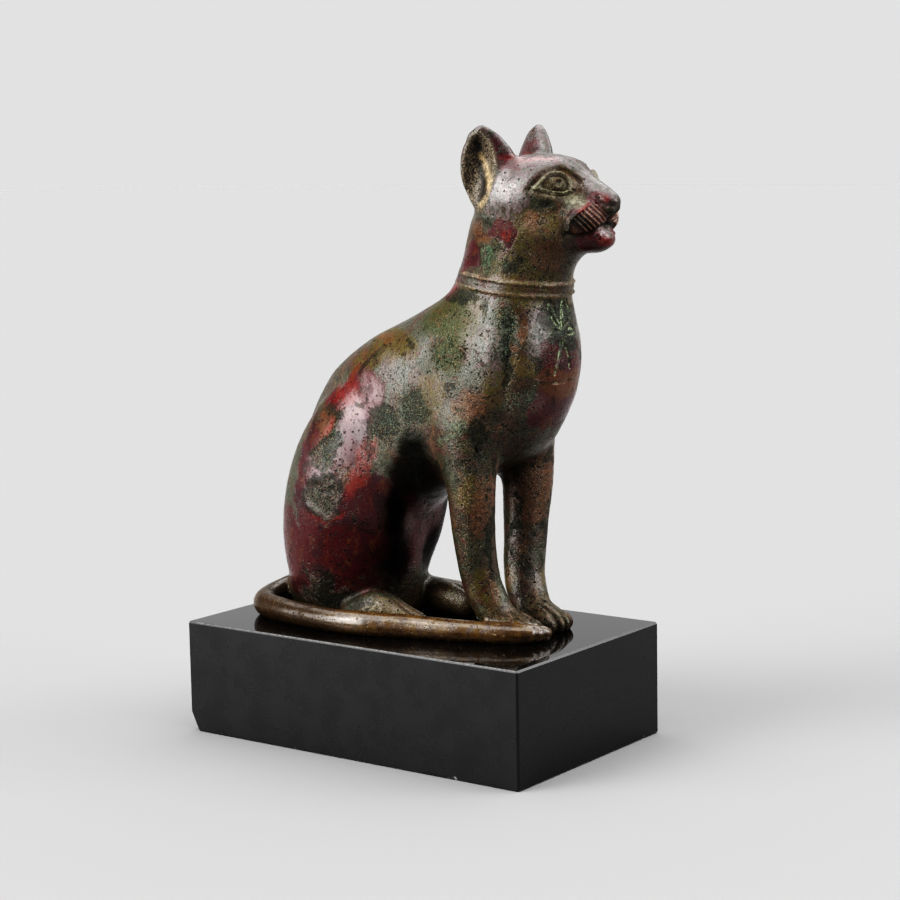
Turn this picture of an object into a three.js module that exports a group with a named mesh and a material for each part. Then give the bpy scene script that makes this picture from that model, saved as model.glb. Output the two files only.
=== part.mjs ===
import * as THREE from "three";
import { ConvexGeometry } from "three/addons/geometries/ConvexGeometry.js";
import { edgeTable, triTable } from "three/addons/objects/MarchingCubes.js";

// A seated cat, cast in bronze in one piece, on a block of polished black stone.
// Millimetres. +Z is up, and the cat looks along -Y. The origin is the middle of the block's underside.

// Driving dimensions
const PLINTH_LENGTH = 127;
const PLINTH_WIDTH = 77;
const PLINTH_HEIGHT = 35.5;
const PLINTH_BEVEL = 0.6;
const CHIP_REACH = 3.4;
const CHIP_HEIGHT = 6.2;
const CAT_HEIGHT = 153.3;
const CAT_ASIDE = 3.5;

// The cat's form is held in hundredths of its height, over the plinth's top, with x = 0 at its middle.
const UNIT = CAT_HEIGHT / 100;
const COLLAR_MIDDLE = 70.2;
const COLLAR_HUB = -22;
const COLLAR_SLOPE = 0.13;
const COLLAR_TALL = 2.6;
const COLLAR_RISE = 0.5;
const RIGHT_LEG_GIRTH = 0.92;
const CAT_LOW = [-24, -52, -3];
const CAT_HIGH = [24, 40, 104];

// How finely the cat is drawn: the spacing of the first grid, the faces kept, what a long edge costs,
// and how far a face may swing (as a cosine) when an edge beside it is drawn together.
const GRID_STEP = 1.5;
const CAT_FACES = 9000;
const EDGE_WEIGHT = 2e-5;
const LEAST_TURN = 0.3;
const NEARLY_FLAT = 1e-7;
const TINY = 1e-9;
const DEGREE = Math.PI / 180;
const CURVE_STEPS = 6;
const TAIL_STEPS = 4;

// Helpers for fields: each field is a function of a point, below zero inside the form.
const blendMin = (a, b, k) => {
  const h = Math.max(k - Math.abs(a - b), 0) / k;
  return Math.min(a, b) - (h * h * k) / 4;
};

const joined = (k, ...fields) => (x, y, z) =>
  fields.slice(1).reduce((d, f) => blendMin(d, f(x, y, z), k), fields[0](x, y, z));

const hollowed = (k, body, cutter) => (x, y, z) => -blendMin(-body(x, y, z), cutter(x, y, z), k);

const paired = (field) => (x, y, z) => field(Math.abs(x), y, z);

// A point seen from a frame at centre, which is turned about Z, then tipped about its own X and rolled about its own Y.
function framed(centre, [turn, tip, roll], field) {
  const order = new THREE.Euler(tip * DEGREE, roll * DEGREE, turn * DEGREE, "ZXY");
  const e = new THREE.Matrix4().makeRotationFromEuler(order).elements;
  const [cx, cy, cz] = centre;
  return (x, y, z) => {
    const dx = x - cx;
    const dy = y - cy;
    const dz = z - cz;
    return field(
      e[0] * dx + e[1] * dy + e[2] * dz,
      e[4] * dx + e[5] * dy + e[6] * dz,
      e[8] * dx + e[9] * dy + e[10] * dz,
    );
  };
}

function ellipsoid(centre, [rx, ry, rz], turns = [0, 0, 0]) {
  return framed(centre, turns, (x, y, z) => {
    const [p, q, r] = [x / rx, y / ry, z / rz];
    const near = Math.sqrt(p * p + q * q + r * r);
    const slope = Math.sqrt((p / rx) ** 2 + (q / ry) ** 2 + (r / rz) ** 2);
    return slope < TINY ? -Math.min(rx, ry, rz) : (near * (near - 1)) / slope;
  });
}

// A smooth curve through rows of numbers, as a list of finer rows.
function smoothRows(rows, steps = CURVE_STEPS) {
  const fine = [];
  for (let i = 0; i + 1 < rows.length; i++) {
    const a = rows[Math.max(i - 1, 0)];
    const b = rows[i];
    const c = rows[i + 1];
    const d = rows[Math.min(i + 2, rows.length - 1)];
    for (let s = 0; s < steps; s++) {
      const t = s / steps;
      fine.push(
        b.map((v, k) => {
          const bend = 2 * a[k] - 5 * v + 4 * c[k] - d[k] + t * (3 * (v - c[k]) + d[k] - a[k]);
          return v + (t * (c[k] - a[k] + t * bend)) / 2;
        }),
      );
    }
  }
  fine.push(rows[rows.length - 1]);
  return fine;
}

// A round limb along rows of x, y, z and radius.
function limb(rows, steps = CURVE_STEPS) {
  const fine = smoothRows(rows, steps);
  return (x, y, z) => {
    let nearest = Infinity;
    for (let i = 0; i + 1 < fine.length; i++) {
      const [ax, ay, az, ar] = fine[i];
      const [bx, by, bz, br] = fine[i + 1];
      const ex = bx - ax;
      const ey = by - ay;
      const ez = bz - az;
      const along = ((x - ax) * ex + (y - ay) * ey + (z - az) * ez) / (ex * ex + ey * ey + ez * ez);
      const t = Math.min(Math.max(along, 0), 1);
      const [gx, gy, gz] = [x - ax - t * ex, y - ay - t * ey, z - az - t * ez];
      nearest = Math.min(nearest, Math.sqrt(gx * gx + gy * gy + gz * gz) - ar - t * (br - ar));
    }
    return nearest;
  };
}

// The row of a curve at height z, where each row starts with its height, and the heights over and under it.
function atHeight(rows) {
  const levels = smoothRows(rows);
  const [bottom, top] = [levels[0][0], levels[levels.length - 1][0]];
  return (z) => {
    let i = 0;
    while (i + 2 < levels.length && levels[i + 1][0] < z) i++;
    const t = Math.min(Math.max((z - levels[i][0]) / (levels[i + 1][0] - levels[i][0]), 0), 1);
    const row = levels[i].map((v, k) => v + t * (levels[i + 1][k] - v));
    return { row, beyond: Math.max(bottom - z, z - top) };
  };
}

// A body of level sections. Each row holds height, front, widest place, back and half width.
function stacked(rows, bluntness) {
  const levelAt = atHeight(rows);
  return (x, y, z) => {
    const { row, beyond } = levelAt(z);
    const [, front, middle, back, half] = row;
    const forward = y < middle;
    const depth = forward ? middle - front : back - middle;
    const power = forward ? bluntness : 2;
    const u = Math.abs(x) / half;
    const v = Math.abs(y - middle) / depth;
    const near = (u ** power + v ** power) ** (1 / power);
    const slope = Math.sqrt((u / half) ** 2 + (v / depth) ** 2) / Math.max(near, TINY);
    return Math.max(slope < TINY ? -half : (near - 1) / slope, beyond);
  };
}

// A standing blade. Each row holds height, x, y, half length and half thickness of a level, turned section.
function blade(rows, turn) {
  const levelAt = atHeight(rows);
  const [along, aside] = [Math.cos(turn * DEGREE), Math.sin(turn * DEGREE)];
  return (x, y, z) => {
    const { row, beyond } = levelAt(z);
    const [, cx, cy, long, thick] = row;
    const u = ((x - cx) * along + (y - cy) * aside) / thick;
    const v = ((y - cy) * along - (x - cx) * aside) / long;
    const near = Math.sqrt(u * u + v * v);
    const slope = Math.sqrt((u / thick) ** 2 + (v / long) ** 2);
    return Math.max(slope < TINY ? -thick : (near * (near - 1)) / slope, beyond);
  };
}

// Parts of the cat
function trunk() {
  return stacked(
    [
      [0, 4, 18, 33, 10.4],
      [5, 3.2, 18, 34.2, 11.4],
      [15, 2.2, 16, 33.9, 11.7],
      [25, -2.4, 12, 32.5, 12],
      [32, -18.4, 5, 30.9, 12.3],
      [37, -28, -3, 29.4, 12.8],
      [45, -33, -13, 25.6, 13.6],
      [52, -34.9, -19, 19.9, 13.8],
      [58, -34.9, -21.5, 10.8, 13.3],
      [63, -34.1, -22.5, -0.3, 12],
      [68, -33.3, -23.5, -9.2, 10.8],
      [74, -33.3, -24.5, -12.6, 10.2],
      [81, -34, -26, -14.6, 9.8],
      [86, -34, -26.5, -17.2, 9],
      [90, -34, -27, -20.5, 7],
    ],
    2.4,
  );
}

// A low raised band round the neck, higher at the nape.
function collar() {
  const around = trunk();
  return (x, y, z) => {
    const level = z - COLLAR_MIDDLE - (y - COLLAR_HUB) * COLLAR_SLOPE;
    return Math.max(around(x, y, z) - COLLAR_RISE, Math.abs(level) - COLLAR_TALL / 2);
  };
}

function haunch() {
  return ellipsoid([6.2, 15.2, 24], [9.3, 14.8, 26], [0, 15, 0]);
}

function shoulder() {
  return ellipsoid([8.8, -17.5, 45], [5.4, 8.5, 16], [0, 6, 0]);
}

// One foreleg, on the side given by +1 or -1.
function foreleg(side, girth) {
  const rows = [
    [9.6, -18, 42, 6.2],
    [9.8, -18.8, 31, 5.3],
    [8.9, -18.8, 20, 4.5],
    [7.6, -19.2, 12, 4.2],
    [6.7, -20.2, 8, 4.1],
    [5.7, -22.4, 3.5, 3.8],
  ];
  return limb(rows.map(([x, y, z, r]) => [side * x, y, z, girth * r]));
}

function paw() {
  const pad = ellipsoid([5, -24.6, 2.2], [4.1, 5.8, 3.3]);
  const toes = [-3, -1, 1, 3].map((aside) => {
    const toeEnd = -28.3 + 0.35 * Math.abs(aside);
    return ellipsoid([5 + aside, toeEnd, 1.5], [1.25, 3.2, 2.2]);
  });
  return joined(0.4, pad, ...toes);
}

function rightHindFoot() {
  return limb([
    [-11.2, 11, 2.2, 2.2],
    [-11.2, 7, 3.2, 3.2],
    [-11, 3.5, 3.9, 3.7],
    [-10.6, -1, 2.7, 3],
    [-10.3, -5.5, 1.8, 2.2],
  ]);
}

function leftHindFoot() {
  return limb([
    [8.5, 13, 3, 3],
    [7.8, 7, 3.6, 3.6],
    [6.8, 1, 3.6, 3.7],
    [6.4, -3, 3.5, 3.7],
    [6.2, -5.8, 3, 3.3],
  ]);
}

function tail() {
  return limb(
    [
      [1, 33, 4, 3.2],
      [-5, 34.5, 3, 2.8],
      [-11, 33.6, 2.6, 2.6],
      [-15, 30.3, 2.5, 2.5],
      [-17.2, 24, 2.45, 2.45],
      [-18.4, 17.5, 2.4, 2.4],
      [-19.1, 9, 2.35, 2.35],
      [-18.5, 2.7, 2.4, 2.4],
      [-16.9, -2.5, 2.35, 2.35],
      [-15.1, -8, 2.3, 2.3],
      [-13.5, -14.2, 2.2, 2.2],
      [-11.5, -20.8, 2.1, 2.1],
      [-9.4, -26.6, 2, 2],
      [-6.6, -30.3, 1.8, 1.8],
      [-3.6, -31.6, 1.5, 1.5],
    ],
    TAIL_STEPS,
  );
}

function skull() {
  return ellipsoid([0, -29, 86.1], [11.2, 11.4, 8.5], [0, 2, 0]);
}

function brow() {
  return ellipsoid([3.8, -33.6, 89], [5.6, 6.1, 4.2], [-14, 9, 12]);
}

function noseBridge() {
  return limb([
    [0, -34, 88, 5],
    [0, -40.5, 87, 3.3],
    [0, -45, 85.2, 2.3],
  ]);
}

function whiskerPad() {
  return ellipsoid([2.7, -39.9, 82.5], [3.9, 5, 3.3], [-14, 0, 0]);
}

function chin() {
  return ellipsoid([0, -41, 78.5], [4, 4.7, 2.7]);
}

function jaw() {
  return ellipsoid([0, -32, 80.6], [9.6, 11.5, 6], [0, -6, 0]);
}

function throat() {
  return limb([
    [0, -26, 71, 8],
    [0, -29, 76, 7.6],
    [0, -34, 80, 5.5],
  ]);
}

function eyeSocket() {
  return ellipsoid([8.2, -39.2, 89.6], [4.5, 2.2, 2.7], [40, 0, 0]);
}

function eyeball() {
  return ellipsoid([6.95, -37.3, 89.2], [3.2, 1.6, 1.5], [40, 0, 0]);
}

function ear() {
  const body = blade(
    [
      [83.5, 7.5, -23.6, 2.3, 2.2],
      [86.5, 7.7, -22.9, 3.8, 2.8],
      [90, 8, -22.3, 4.6, 2.8],
      [93, 8.2, -22.4, 4.8, 2.3],
      [95.4, 8.4, -22.8, 4.7, 1.7],
      [97, 8.7, -22.8, 3.8, 1.4],
      [98.5, 9.2, -22.6, 2.8, 1.1],
      [99.6, 9.6, -22.6, 1.4, 0.7],
      [100.1, 9.8, -22.6, 0.5, 0.35],
    ],
    -22,
  );
  const hollow = ellipsoid([11, -22.3, 91.4], [2.7, 3.3, 7.2], [-22, 2, 4]);
  return hollowed(0.4, body, hollow);
}

function head() {
  const cranium = joined(2.5, skull(), paired(brow()), noseBridge());
  const lower = joined(2.5, cranium, jaw());
  const lips = joined(0.8, paired(whiskerPad()), chin());
  const face = hollowed(0.5, joined(1.6, lower, lips), paired(eyeSocket()));
  const seeing = joined(0.2, face, paired(eyeball()));
  return joined(3.4, seeing, paired(ear()));
}

function cat() {
  const body = joined(1.5, trunk(), paired(haunch()));
  const front = joined(3, body, paired(shoulder()));
  const forelegs = joined(1, foreleg(1, 1), foreleg(-1, RIGHT_LEG_GIRTH));
  const legs = joined(2, front, joined(1.5, forelegs, paired(paw())));
  const feet = joined(1.5, legs, leftHindFoot(), rightHindFoot());
  const necked = joined(2.5, feet, throat());
  const headed = joined(2.6, necked, head());
  const collared = joined(0.4, headed, collar());
  const tailed = joined(0.8, collared, tail());
  return (x, y, z) => Math.max(tailed(x, y, z), -z);
}

// Marching cubes over a level grid: points where the field changes sign, and the faces between them.
function polygonised(field, low, high, step) {
  const count = low.map((v, k) => Math.ceil((high[k] - v) / step) + 1);
  const index = (i, j, k) => i + count[0] * (j + count[1] * k);
  const place = (i, j, k) => [low[0] + i * step, low[1] + j * step, low[2] + k * step];
  const values = new Float64Array(count[0] * count[1] * count[2]);
  for (let k = 0; k < count[2]; k++)
    for (let j = 0; j < count[1]; j++)
      for (let i = 0; i < count[0]; i++) values[index(i, j, k)] = field(...place(i, j, k));
  const corner = [
    [0, 0, 0],
    [1, 0, 0],
    [1, 1, 0],
    [0, 1, 0],
    [0, 0, 1],
    [1, 0, 1],
    [1, 1, 1],
    [0, 1, 1],
  ];
  const edge = [
    [0, 1],
    [1, 2],
    [2, 3],
    [3, 0],
    [4, 5],
    [5, 6],
    [6, 7],
    [7, 4],
    [0, 4],
    [1, 5],
    [2, 6],
    [3, 7],
  ];
  const points = [];
  const faces = [];
  const known = new Map();
  const crossing = (i, j, k, n) => {
    const [a, b] = edge[n].map((c) => [i + corner[c][0], j + corner[c][1], k + corner[c][2]]);
    const [na, nb] = [index(...a), index(...b)];
    const key = Math.min(na, nb) * values.length + Math.max(na, nb);
    if (!known.has(key)) {
      const t = values[na] / (values[na] - values[nb]);
      const [pa, pb] = [place(...a), place(...b)];
      known.set(key, points.push(pa.map((v, c) => v + t * (pb[c] - v))) - 1);
    }
    return known.get(key);
  };
  for (let k = 0; k + 1 < count[2]; k++)
    for (let j = 0; j + 1 < count[1]; j++)
      for (let i = 0; i + 1 < count[0]; i++) {
        let kind = 0;
        corner.forEach(([a, b, c], n) => {
          if (values[index(i + a, j + b, k + c)] < 0) kind |= 1 << n;
        });
        if (!edgeTable[kind]) continue;
        for (let t = kind * 16; triTable[t] !== -1; t += 3)
          faces.push([t, t + 2, t + 1].map((s) => crossing(i, j, k, triTable[s])));
      }
  return { points, faces };
}

// The direction a face looks in, as long as twice its area.
function faceTurn(a, b, c) {
  const [ux, uy, uz] = [b[0] - a[0], b[1] - a[1], b[2] - a[2]];
  const [vx, vy, vz] = [c[0] - a[0], c[1] - a[1], c[2] - a[2]];
  return [uy * vz - uz * vy, uz * vx - ux * vz, ux * vy - uy * vx];
}

const sizeOf = ([x, y, z]) => Math.sqrt(x * x + y * y + z * z);

// The squared distance from a face's plane, times its area, as the ten sums of a symmetric 4 by 4 table.
function planeSums(a, b, c) {
  const turn = faceTurn(a, b, c);
  const twice = sizeOf(turn) || TINY;
  const [p, q, r] = turn.map((v) => v / twice);
  const s = -(p * a[0] + q * a[1] + r * a[2]);
  return [p * p, p * q, p * r, p * s, q * q, q * r, q * s, r * r, r * s, s * s].map((v) => (v * twice) / 2);
}

function sumsAt(m, [x, y, z]) {
  const first = x * (m[0] * x + 2 * (m[1] * y + m[2] * z + m[3]));
  return first + y * (m[4] * y + 2 * (m[5] * z + m[6])) + z * (m[7] * z + 2 * m[8]) + m[9];
}

// The point where the sums are least, or null where they hardly bend.
function lowestPoint(m) {
  const [a, b, c, , d, e, , f] = m;
  const [p, q, r] = [d * f - e * e, c * e - b * f, b * e - c * d];
  const whole = a * p + b * q + c * r;
  if (Math.abs(whole) < NEARLY_FLAT * (a + d + f) ** 3) return null;
  const [x, y, z] = [-m[3], -m[6], -m[8]];
  return [
    (p * x + q * y + r * z) / whole,
    (q * x + (a * f - c * c) * y + (b * c - a * e) * z) / whole,
    (r * x + (b * c - a * e) * y + (a * d - b * b) * z) / whole,
  ];
}

// A queue that gives back its lowest entry first. Each entry's first value is its cost.
class LowestFirst {
  constructor() {
    this.held = [];
  }
  add(entry) {
    const held = this.held;
    let i = held.push(entry) - 1;
    while (i > 0 && held[(i - 1) >> 1][0] > entry[0]) {
      held[i] = held[(i - 1) >> 1];
      i = (i - 1) >> 1;
    }
    held[i] = entry;
  }
  take() {
    const held = this.held;
    const lowest = held[0];
    const entry = held.pop();
    if (held.length) {
      let i = 0;
      for (let c = 1; c < held.length; c = 2 * i + 1) {
        if (c + 1 < held.length && held[c + 1][0] < held[c][0]) c++;
        if (held[c][0] >= entry[0]) break;
        held[i] = held[c];
        i = c;
      }
      held[i] = entry;
    }
    return lowest;
  }
}

// Draws edges of a closed mesh together, the least noticed first, until few enough faces are left.
function simplified({ points, faces }, wanted) {
  const place = points.map((p) => [...p]);
  const sums = points.map(() => new Array(10).fill(0));
  const around = points.map(() => new Set());
  const stamp = new Array(points.length).fill(0);
  faces.forEach((face, f) => {
    const add = planeSums(...face.map((v) => place[v]));
    for (const v of face) {
      around[v].add(f);
      add.forEach((value, k) => (sums[v][k] += value));
    }
  });
  const neighbours = (v) => {
    const found = new Set();
    for (const f of around[v]) for (const w of faces[f]) if (w !== v) found.add(w);
    return found;
  };
  const queue = new LowestFirst();
  const offer = (a, b) => {
    const both = sums[a].map((v, k) => v + sums[b][k]);
    const middle = place[a].map((v, k) => (v + place[b][k]) / 2);
    const length = sizeOf(place[a].map((v, k) => v - place[b][k]));
    let target = lowestPoint(both);
    if (!target || target.some((v, k) => Math.abs(v - middle[k]) > length)) target = middle;
    const onBase = place[a][2] <= 0 || place[b][2] <= 0;
    target[2] = onBase ? 0 : Math.max(target[2], 0);
    const cost = Math.max(sumsAt(both, target), 0) + EDGE_WEIGHT * length ** 4;
    queue.add([cost, a, b, stamp[a], stamp[b], target]);
  };
  points.forEach((_, a) => neighbours(a).forEach((b) => a < b && offer(a, b)));
  const turned = (v, other, target) =>
    [...around[v]].some((f) => {
      if (faces[f].includes(other)) return false;
      const before = faceTurn(...faces[f].map((w) => place[w]));
      const after = faceTurn(...faces[f].map((w) => (w === v ? target : place[w])));
      const same = before.reduce((d, value, k) => d + value * after[k], 0);
      const sizes = sizeOf(before) * sizeOf(after);
      return same < LEAST_TURN * sizes || sizes < TINY * TINY;
    });
  let left = faces.length;
  while (left > wanted && queue.held.length) {
    const [, a, b, stampA, stampB, target] = queue.take();
    if (stamp[a] !== stampA || stamp[b] !== stampB) continue;
    const nearB = neighbours(b);
    const shared = [...neighbours(a)].filter((v) => nearB.has(v));
    if (shared.length !== 2 || turned(a, b, target) || turned(b, a, target)) continue;
    place[a] = target;
    sums[a] = sums[a].map((v, k) => v + sums[b][k]);
    for (const f of around[b]) {
      if (faces[f].includes(a)) {
        for (const v of faces[f]) if (v !== b) around[v].delete(f);
        faces[f] = null;
        left--;
      } else {
        faces[f] = faces[f].map((v) => (v === b ? a : v));
        around[a].add(f);
      }
    }
    around[b] = new Set();
    stamp[a]++;
    stamp[b]++;
    neighbours(a).forEach((v) => offer(a, v));
  }
  return { points: place, faces: faces.filter((face) => face) };
}

function bronze() {
  return new THREE.MeshStandardMaterial({ color: 0x5a2f2a, roughness: 0.4, metalness: 0.7 });
}

function blackStone() {
  return new THREE.MeshStandardMaterial({ color: 0x131315, roughness: 0.3, metalness: 0 });
}

function catMesh() {
  const close = polygonised(cat(), CAT_LOW, CAT_HIGH, GRID_STEP / UNIT);
  for (const p of close.points) p[2] = Math.max(p[2], 0);
  const { points, faces } = simplified(close, CAT_FACES);
  const used = [...new Set(faces.flat())];
  const order = new Map(used.map((v, i) => [v, i]));
  const flat = used.flatMap((v) => [
    CAT_ASIDE + points[v][0] * UNIT,
    points[v][1] * UNIT,
    PLINTH_HEIGHT + points[v][2] * UNIT,
  ]);
  const geometry = new THREE.BufferGeometry();
  geometry.setAttribute("position", new THREE.Float32BufferAttribute(flat, 3));
  geometry.setIndex(faces.flat().map((v) => order.get(v)));
  const mesh = new THREE.Mesh(geometry, bronze());
  mesh.name = "cat_figure";
  return mesh;
}

// The block's edges are eased, and its lower corner at the back of the cat's right side is broken off.
function plinthMesh() {
  const half = [PLINTH_WIDTH / 2, PLINTH_LENGTH / 2, PLINTH_HEIGHT / 2];
  const corners = [];
  for (const side of [-1, 1])
    for (const end of [-1, 1])
      for (const level of [-1, 1]) {
        const broken = side < 0 && end > 0 && level < 0;
        const reach = broken ? [CHIP_REACH, CHIP_REACH, CHIP_HEIGHT] : [0, 0, 0];
        for (const along of [0, 1, 2])
          for (const eased of [0, 1, 2]) {
            if (eased === along) continue;
            const inward = [0, 0, 0];
            inward[along] = Math.max(reach[along], PLINTH_BEVEL);
            inward[eased] = PLINTH_BEVEL;
            const [x, y, z] = half.map((v, k) => v - inward[k]);
            corners.push(new THREE.Vector3(side * x, end * y, level * z));
          }
      }
  const geometry = new ConvexGeometry(corners).translate(0, 0, PLINTH_HEIGHT / 2);
  const mesh = new THREE.Mesh(geometry, blackStone());
  mesh.name = "plinth";
  return mesh;
}

const figure = new THREE.Group();
figure.add(plinthMesh(), catMesh());

export default figure;
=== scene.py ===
import math
from functools import partial

import bmesh
import bpy
import numpy as np
from mathutils import Matrix, Vector, noise


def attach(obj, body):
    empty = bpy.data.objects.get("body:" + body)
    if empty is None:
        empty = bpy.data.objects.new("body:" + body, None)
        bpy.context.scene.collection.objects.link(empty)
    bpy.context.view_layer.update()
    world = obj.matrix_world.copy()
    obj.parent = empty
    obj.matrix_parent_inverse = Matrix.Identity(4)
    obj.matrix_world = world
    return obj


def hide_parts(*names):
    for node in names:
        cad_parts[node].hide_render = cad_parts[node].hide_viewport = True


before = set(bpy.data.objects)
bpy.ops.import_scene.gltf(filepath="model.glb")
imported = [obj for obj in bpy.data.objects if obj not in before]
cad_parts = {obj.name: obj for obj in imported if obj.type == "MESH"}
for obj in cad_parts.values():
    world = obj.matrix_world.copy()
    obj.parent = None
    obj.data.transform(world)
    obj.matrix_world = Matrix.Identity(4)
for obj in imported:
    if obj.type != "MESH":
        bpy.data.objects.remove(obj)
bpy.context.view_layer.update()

# A seated bronze cat on a black stone plinth. The cat's form is worked out in hundredths of its
# height, over the plinth's top, with x = 0 at its middle, as the solids are.
CAT_HEIGHT = 0.1533
PLINTH_HEIGHT = 0.0355
CAT_ASIDE = 0.0035
UNIT = CAT_HEIGHT / 100
PLACE = np.array([CAT_ASIDE, 0.0, PLINTH_HEIGHT])

# The fine mesh, in metres: its first grid, how freely flat parts are thinned, the share of its
# triangles that is kept, and then the longest edges on the body, the head and the drawn lines, and
# how many times an edge is halved at most
VOXEL = 0.0006
THINNING = 0.06
KEPT_SHARE = 0.35
BODY_EDGE = 0.0016
HEAD_EDGE = 0.0010
LINE_EDGE = 0.00036
HALVINGS = 6
# In hundredths: the cat's base, which stays flat, lies below the first, and edges are halved over
# the second
BASE = 0.35
OVER_BASE = 0.4
# Steps between two rows of a limb, a distance that is past any form, and a floor for divisions
CURVE_STEPS = 6
FAR = 6.0
TINY = 1e-9


# Fields: each is a function of an array of points, below zero inside the form.
def blend_min(a, b, k):
    """The lesser of two fields, rounded where they meet over a width."""
    h = np.maximum(k - np.abs(a - b), 0) / k
    return np.minimum(a, b) - h * h * k / 4


def joined(k, *fields):
    def field(p):
        d = fields[0](p)
        for other in fields[1:]:
            d = blend_min(d, other(p), k)
        return d

    return field


def hollowed(k, body, cutter):
    """A body with a cutter's form taken out of it."""
    return lambda p: -blend_min(-body(p), cutter(p), k)


def farside(p):
    """Points with those on the cat's right mirrored to its left."""
    return np.abs(p) * (1, 0, 0) + p * (0, 1, 1)


def nearside(p):
    """Points with those on the cat's left mirrored to its right, which the photograph shows."""
    return p * (0, 1, 1) - np.abs(p) * (1, 0, 0)


def paired(field):
    return lambda p: field(farside(p))


def rotation(turn, tip, roll):
    z, x, y = (Matrix.Rotation(math.radians(a), 3, axis) for a, axis in zip((turn, tip, roll), "ZXY"))
    return np.array(z @ x @ y)


def ellipsoid(centre, radii, turns=(0, 0, 0)):
    axes = rotation(*turns)

    def field(p):
        q = (p - centre) @ axes / radii
        near = np.linalg.norm(q, axis=1)
        slope = np.linalg.norm(q / radii, axis=1)
        return near * (near - 1) / np.maximum(slope, TINY)

    return field


def smooth_rows(rows, steps=CURVE_STEPS):
    """Rows with steps between them, on a curve that passes through each."""
    rows = np.array(rows, float)
    fine = []
    for i in range(len(rows) - 1):
        a, b, c, d = (rows[min(max(j, 0), len(rows) - 1)] for j in (i - 1, i, i + 1, i + 2))
        for t in np.arange(steps) / steps:
            bend = 2 * a - 5 * b + 4 * c - d + t * (3 * (b - c) + d - a)
            fine.append(b + t * (c - a + t * bend) / 2)
    return np.array(fine + [rows[-1]])


def zoned(low, high, field):
    """The field inside a box, and far outside it."""

    def inner(p):
        near = ((p > low) & (p < high)).all(1)
        out = np.full(len(p), FAR)
        if near.any():
            out[near] = field(p[near])
        return out

    return inner


def limb(rows, steps=CURVE_STEPS):
    """A round limb along rows of x, y, z and radius."""
    fine = smooth_rows(rows, steps)
    reach = fine[:, 3].max() + FAR

    def field(q):
        nearest = np.full(len(q), np.inf)
        for a, b in zip(fine[:-1], fine[1:]):
            e = b[:3] - a[:3]
            t = np.clip((q - a[:3]) @ e / (e @ e), 0, 1)
            gap = np.linalg.norm(q - a[:3] - t[:, None] * e, axis=1)
            nearest = np.minimum(nearest, gap - a[3] - t * (b[3] - a[3]))
        return nearest

    return zoned(fine[:, :3].min(0) - reach, fine[:, :3].max(0) + reach, field)


def at_height(rows, z):
    """What rows of levels say at each height, and how far that is past their ends."""
    levels = smooth_rows(rows)
    row = [np.interp(z, levels[:, 0], levels[:, k]) for k in range(1, levels.shape[1])]
    return row, np.maximum(levels[0, 0] - z, z - levels[-1, 0])


def stacked(rows, bluntness):
    """A body of level sections: height, front, widest place, back and half width, blunt in front."""

    def field(p):
        (front, middle, back, half), beyond = at_height(rows, p[:, 2])
        forward = p[:, 1] < middle
        depth = np.where(forward, middle - front, back - middle)
        power = np.where(forward, bluntness, 2.0)
        u = np.abs(p[:, 0]) / half
        v = np.abs(p[:, 1] - middle) / depth
        near = (u**power + v**power) ** (1 / power)
        slope = np.hypot(u / half, v / depth) / np.maximum(near, TINY)
        side = np.where(slope < TINY, -half, (near - 1) / np.maximum(slope, TINY))
        return np.maximum(side, beyond)

    return field


def blade(rows, turn):
    """A turned upright blade of level ovals: height, x, y, half length and half thickness."""
    along, aside = math.cos(math.radians(turn)), math.sin(math.radians(turn))

    def field(p):
        (cx, cy, length, thick), beyond = at_height(rows, p[:, 2])
        u = ((p[:, 0] - cx) * along + (p[:, 1] - cy) * aside) / thick
        v = ((p[:, 1] - cy) * along - (p[:, 0] - cx) * aside) / length
        near = np.hypot(u, v)
        slope = np.maximum(np.hypot(u / thick, v / length), TINY)
        return np.maximum(near * (near - 1) / slope, beyond)

    return field


# Parts of the cat, with the same values as the solids
TRUNK = [
    [0, 4, 18, 33, 10.4],
    [5, 3.2, 18, 34.2, 11.4],
    [15, 2.2, 16, 33.9, 11.7],
    [25, -2.4, 12, 32.5, 12],
    [32, -18.4, 5, 30.9, 12.3],
    [37, -28, -3, 29.4, 12.8],
    [45, -33, -13, 25.6, 13.6],
    [52, -34.9, -19, 19.9, 13.8],
    [58, -34.9, -21.5, 10.8, 13.3],
    [63, -34.1, -22.5, -0.3, 12],
    [68, -33.3, -23.5, -9.2, 10.8],
    [74, -33.3, -24.5, -12.6, 10.2],
    [81, -34, -26, -14.6, 9.8],
    [86, -34, -26.5, -17.2, 9],
    [90, -34, -27, -20.5, 7],
]
trunk = stacked(TRUNK, 2.4)
haunch = ellipsoid([6.2, 15.2, 24], [9.3, 14.8, 26], [0, 15, 0])
shoulder = ellipsoid([8.8, -17.5, 45], [5.4, 8.5, 16], [0, 6, 0])


def foreleg(side, girth):
    rows = [
        [9.6, -18, 42, 6.2],
        [9.8, -18.8, 31, 5.3],
        [8.9, -18.8, 20, 4.5],
        [7.6, -19.2, 12, 4.2],
        [6.7, -20.2, 8, 4.1],
        [5.7, -22.4, 3.5, 3.8],
    ]
    return limb([[side * x, y, z, girth * r] for x, y, z, r in rows])


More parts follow.
